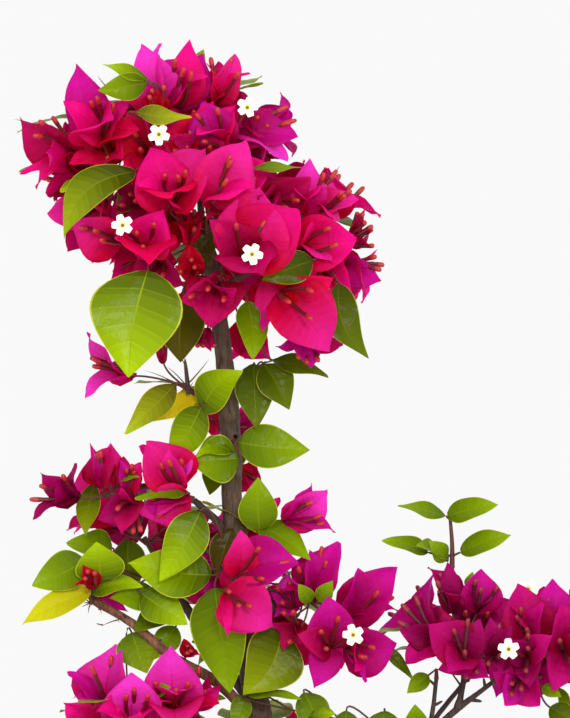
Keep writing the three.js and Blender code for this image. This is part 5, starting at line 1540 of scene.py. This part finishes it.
def barkFinish(name, grey, brown, dark):
    # Grey over brown in patches, and dark in streaks drawn out along the height
    finish = Finish(name)
    patches = finish.noise(barkLook["patches"], 6, 0.6).between(*barkLook["patchEdge"])
    drawnOut = finish.node("Mapping", Vector=finish.places(), Scale=barkLook["streaks"])
    streaks = finish.noise(1.0, 5, 0.6, drawnOut)
    colour = finish.mixed(patches, brown, grey)
    colour = finish.mixed(streaks.between(*barkLook["streakEdge"]), colour, dark)
    height = streaks * barkLook["streakShare"] + finish.noise(barkLook["grain"], 3) * barkLook["grainShare"]
    shine = finish.noise(barkLook["shine"], 3).between(*barkLook["shineEdge"])
    rough = shine * barkLook["roughChance"] + barkLook["roughness"]
    return finish.done(finish.surface(colour, rough, finish.bump(height, barkLook["depth"])))


# Stubs where twigs and stalks dropped off: start, end and radius
stubs = {
    "places": [
        [[106, -3, 334.5], [113, -5, 333.5], 1.1], [[114.5, -4, 340], [113.6, -5, 345.5], 0.9],
        [[89.5, -7, 332], [93.2, -8, 334], 0.8], [[89.8, -8, 341.5], [85.4, -9, 345.4], 0.8],
        [[102.6, -3, 341], [96.8, -5, 349], 0.55], [[-33.5, -8, 487], [-35.5, -10, 505], 1.25],
        [[-64, -9, 373], [-66, -12, 378], 0.8], [[-50, -8, 361], [-47, -11, 365], 0.7],
    ],
    "rings": 9, "sides": 10, "narrowing": 0.25, "relief": 0.12, "reliefCells": (4, 4),
}
barkSeeds = {"trunk": 600, "boughs": 610, "stubs": 660}


def stubBatch():
    # Straight from start to end, the radius shrinking a little and rounding off as sqrt(1 - share^6)
    start, end = (np.array([place[k] for place in stubs["places"]], dtype=float) for k in (0, 1))
    base = np.array([place[2] for place in stubs["places"]])[:, None]
    share = np.linspace(0, 1, stubs["rings"])
    paths = start[:, None] * (1 - share[None, :, None]) + end[:, None] * share[None, :, None]
    radii = base * (1 - stubs["narrowing"] * share) * np.sqrt(1 - share**6)
    grid = (stubs["rings"], stubs["sides"])
    relief = 1 + stubs["relief"] * latticeNoise(grid, stubs["reliefCells"], barkSeeds["stubs"])
    points = tubePoints(paths, radii, stubs["sides"], ringStart, relief[None])
    return copies(points, sheetCorners(*grid, closed=True, welded=(-1,)), 0)


trunkSkin = barkFinish("bark-trunk", srgb(98, 74, 56), srgb(62, 44, 31), srgb(34, 23, 18))
boughSkins = [
    barkFinish("bark-bough", srgb(74, 54, 44), srgb(52, 36, 31), srgb(28, 19, 18)),
    barkFinish("bark-dry", srgb(140, 92, 62), srgb(100, 60, 40), srgb(50, 30, 22)),
]
total += makePiece("trunkBark", [barkTube("trunk", barkSeeds["trunk"])], [trunkSkin], ["trunk"])
boughNames = [name for name in limbs if name != "trunk"]
boughs = [
    barkTube(name, barkSeeds["boughs"] + 3 * i, int("dry" in name)) for i, name in enumerate(boughNames)
]
total += makePiece("boughBark", [*boughs, stubBatch()], boughSkins, boughNames)

# Pot: a profile of straight runs and round corners, turned about the vertical
pot = {
    "height": 174, "rimRadius": 106, "footRadius": 73, "wall": 8, "floor": 14, "collar": 32,
    "collarStep": 6, "mouthStep": 2, "sides": 144, "round": 2.4, "roundPart": 2.2, "arcPoints": 6,
    "runStep": 3, "ringWave": 0.18, "ringRate": 1.9, "ringFrom": 20, "uneven": 0.25,
    "unevenCells": (10, 9), "unevenSeed": 700, "inset": 0.3,
}


def roundedProfile(points, radius, step):
    # Each corner is an arc laid as a quadratic curve between points set back from it
    points = np.array(points, dtype=float)
    t = np.linspace(0, 1, pot["arcPoints"])[:, None]
    run = [points[:1]]
    for before, corner, after in zip(points[:-2], points[1:-1], points[2:]):
        runs = [np.linalg.norm(one - corner) / pot["roundPart"] for one in (before, after)]
        back = min(radius, *runs)
        first, last = (corner + unit(one - corner) * back for one in (before, after))
        run.append(arc(first, corner, last, t))
    path = np.concatenate([*run, points[-1:]])
    spaced = [path[:1]]
    for first, last in zip(path[:-1], path[1:]):
        count = max(int(np.linalg.norm(last - first) / step), 1)
        spaced.append(mix(first, last, (np.arange(1, count + 1) / count)[:, None]))
    return np.concatenate(spaced)


def carriedRound(radius, height, turn):
    # Points at a radius and a height, turned about the vertical from the viewer's side
    return np.stack([radius * np.sin(turn), -radius * np.cos(turn), height], axis=-1)


def potShell():
    # The profile carried round, drawn in by faint rings of the wheel and a little unevenness
    under = pot["rimRadius"] - pot["collarStep"]
    lip = pot["height"] - pot["collar"]
    profile = roundedProfile([
        [0, 0], [pot["footRadius"], 0], [under, lip], [pot["rimRadius"], lip],
        [pot["rimRadius"], pot["height"]], [pot["rimRadius"] - pot["wall"] - pot["mouthStep"], pot["height"]],
        [under - pot["wall"], lip], [pot["footRadius"] - pot["wall"], pot["floor"]], [0, pot["floor"]],
    ], pot["round"], pot["runStep"])
    shape = (len(profile), pot["sides"])
    isOut = (profile[:, 0] > pot["ringFrom"])[:, None]
    wheel = pot["ringWave"] * np.sin(profile[:, 1] * pot["ringRate"])[:, None] * isOut
    hand = pot["uneven"] * latticeNoise(shape, pot["unevenCells"], pot["unevenSeed"]) * isOut
    radius = profile[:, :1] + np.minimum(wheel + hand - pot["inset"] * isOut, 0)
    return carriedRound(radius, np.broadcast_to(profile[:, 1:], shape), angles(pot["sides"]))[None]


clay = {
    "fired": srgb(186, 108, 74), "worn": srgb(214, 152, 116), "dusky": srgb(150, 78, 52),
    "chalky": srgb(232, 214, 196), "patches": 14, "patchEdge": (0.35, 0.7), "grains": 160,
    "grainEdge": (0.5, 0.75), "duskyShare": 0.6, "chalkHeights": (0.09, 0.02), "chalk": 30,
    "chalkEdge": (0.45, 0.65), "chalkShare": 0.5, "specks": 1500, "grainDepth": 0.4, "speckDepth": 0.6,
    "depth": 0.0004, "roughness": 0.78, "roughChance": 0.15,
}


def clayFinish():
    # Fired clay, worn in patches and dusky in grains, with chalk below a height in metres
    finish = Finish("clay")
    patches = finish.noise(clay["patches"], 5, 0.6).between(*clay["patchEdge"])
    grains, specks = finish.noise(clay["grains"], 4), finish.noise(clay["specks"], 2)
    colour = finish.mixed(patches, clay["fired"], clay["worn"])
    colour = finish.mixed(grains.between(*clay["grainEdge"]) * clay["duskyShare"], colour, clay["dusky"])
    height = finish.node("SeparateXYZ", Vector=finish.places(), output=2)
    chalk = finish.noise(clay["chalk"], 5, 0.7).between(*clay["chalkEdge"])
    chalk = height.between(*clay["chalkHeights"]) * chalk * clay["chalkShare"]
    colour = finish.mixed(chalk, colour, clay["chalky"])
    normal = finish.bump(grains * clay["grainDepth"] + specks * clay["speckDepth"], clay["depth"])
    return finish.done(finish.surface(colour, grains * clay["roughChance"] + clay["roughness"], normal))


shell = potShell()
potCorners = sheetCorners(shell.shape[1], pot["sides"], closed=True, welded=(0, -1))
total += makePiece("potShell", [copies(shell, potCorners, 0)], [clayFinish()], ["pot"])

# Soil: a lumpy disc just under the rim, with crumbs and chips of bark lying on it
soil = {
    "radius": 95, "depth": 20, "rings": 90, "sides": 180, "spacing": 0.8, "lump": 1.44, "smallShare": 0.6,
    "fine": 0.72, "cells": ((9, 16), (22, 48), (60, 150)), "seeds": (720, 721, 722), "fadeIn": 6,
    "fadeOut": 9, "mound": 3.5, "moundRadius": 18, "underside": 0.97, "grain": 420,
    "grainEdge": (0.35, 0.68), "grainDepth": 0.0012, "roughness": 0.92,
}
crumb = {
    "count": 420, "reach": 0.95, "nearest": 0.02, "rows": 6, "columns": 7, "size": (0.8, 2.6),
    "stretch": (0.35, 1.3), "uneven": 0.2, "spins": 3, "lift": 0.6, "seed": 730,
}


def mound(reach):
    # How far the soil stands up round the trunk
    return soil["mound"] * np.exp(-((reach / soil["moundRadius"]) ** 2))


def soilSheet():
    # Broad and small lumps and a fine grain, all fading out at the middle and the rim, and the mound
    across = np.linspace(0, 1, soil["rings"])[:, None] ** soil["spacing"]
    shape = (soil["rings"], soil["sides"])
    broad, small, fine = (latticeNoise(shape, *one) for one in zip(soil["cells"], soil["seeds"]))
    fade = np.minimum(1, across * soil["fadeIn"]) * np.minimum(1, (1 - across) * soil["fadeOut"])
    z = soilLevel + (soil["lump"] * (broad + soil["smallShare"] * small) + soil["fine"] * fine) * fade
    top = carriedRound(across * soil["radius"], z + mound(across * soil["radius"]), angles(soil["sides"]))
    edge = top[-1:] * [soil["underside"], soil["underside"], 1] - [0, 0, soil["depth"]]
    centre = np.zeros_like(edge) + [0, 0, soilLevel - soil["depth"]]
    return np.concatenate([top, edge, centre])[::-1][None]


def crumbBatch():
    # Small lumps: a ball of few faces, each stretched and turned its own way
    random = np.random.default_rng(crumb["seed"])
    count, rows, columns, uneven = crumb["count"], crumb["rows"], crumb["columns"], crumb["uneven"]
    reach = soil["radius"] * crumb["reach"] * np.sqrt(random.uniform(crumb["nearest"], 1, count))
    turn = random.uniform(0, 2 * np.pi, count)
    down, around = np.linspace(0, np.pi, rows)[:, None], angles(columns)[None]
    ball = [np.sin(down) * np.cos(around), np.sin(down) * np.sin(around), np.cos(down) + 0 * around]
    size = random.uniform(*crumb["size"], (count, 1)) * random.uniform(*crumb["stretch"], (count, 3))
    lumpy = 1 + random.uniform(-uneven, uneven, (count, rows, columns, 1)) * np.sin(down)[None, :, :, None]
    x, y, z = np.moveaxis(np.stack(ball, axis=-1)[None] * lumpy * size[:, None, None], -1, 0)
    spin = (turn * crumb["spins"])[:, None, None]
    cos, sin = np.cos(spin), np.sin(spin)
    middle = carriedRound(reach, soilLevel + crumb["lift"] + mound(reach), turn)
    points = np.stack([x * cos - y * sin, x * sin + y * cos, z], axis=-1) + middle[:, None, None]
    corners = sheetCorners(rows, columns, closed=True, welded=(0, -1))[:, ::-1]
    return copies(points, corners, random.integers(0, 2, (count, 1)))


def soilFinish(name, low, high):
    # The low colour in the hollows of the grain, as painted shade, and the high one on top
    finish = Finish(name)
    grains = finish.noise(soil["grain"], 6, 0.65)
    colour = finish.mixed(grains.between(*soil["grainEdge"]), low, high)
    return finish.done(finish.surface(colour, soil["roughness"], finish.bump(grains, soil["grainDepth"])))


soilLooks = [
    soilFinish("soil", srgb(40, 28, 20), srgb(92, 70, 50)),
    soilFinish("soil-chip", srgb(70, 50, 36), srgb(128, 100, 72)),
]
soilCorners = sheetCorners(soil["rings"] + 2, soil["sides"], closed=True, welded=(0, -1))
soilBatches = [copies(soilSheet(), soilCorners, 0), crumbBatch()]
total += makePiece("soilTop", soilBatches, soilLooks, ["soil"])
print("object:", total, "triangles")

# Stage: a pale round floor, a bright even world, a broad soft key and a small lamp beside the camera
stage = {
    "floorRadius": 1.9, "floorSides": 96, "floorColour": srgb(236, 236, 238), "floorRoughness": 0.8,
    "grain": 60, "grainDepth": 0.0005, "world": 0.95,
    # name, place, the point it is aimed at, power and size
    "lights": [
        ("key", (-0.9, -1.5, 1.7), (0, 0, 0.5), 13, 1.4),
        ("lamp", (0.25, -1.7, 0.95), (0, 0, 0.5), 14, 0.3),
        ("fill", (1.5, -0.6, 0.9), (0, 0, 0.45), 4, 1.2),
    ],
}
turn = angles(stage["floorSides"])
rim = np.stack([np.sin(turn), np.cos(turn), 0 * turn], axis=-1) * stage["floorRadius"]
floorMesh = bpy.data.meshes.new("floor")
floorMesh.from_pydata(rim[::-1].tolist(), [], [list(range(len(rim)))])
floorFinish = Finish("floor")
grain = floorFinish.bump(floorFinish.noise(stage["grain"], 3), stage["grainDepth"])
floorSurface = floorFinish.surface(stage["floorColour"], stage["floorRoughness"], grain)
floorMesh.materials.append(floorFinish.done(floorSurface))
floorObject = bpy.data.objects.new("floor", floorMesh)
bpy.context.scene.collection.objects.link(floorObject)

world = bpy.data.worlds.new("studio")
bpy.context.scene.world = world
world.use_nodes = True
background = world.node_tree.nodes["Background"].inputs
background["Color"].default_value = (1.0, 1.0, 1.0, 1)
background["Strength"].default_value = stage["world"]
bpy.context.scene.view_settings.view_transform = "Standard"

for name, place, target, power, size in stage["lights"]:
    data = bpy.data.lights.new(name, "AREA")
    data.energy, data.size = power, size
    light = bpy.data.objects.new(name, data)
    light.location = place
    aim = np.array(target) - np.array(place)
    tilt, turn = np.arctan2(np.hypot(aim[0], aim[1]), -aim[2]), np.arctan2(aim[1], aim[0]) - np.pi / 2
    light.rotation_euler = (float(tilt), 0, float(turn))
    bpy.context.scene.collection.objects.link(light)
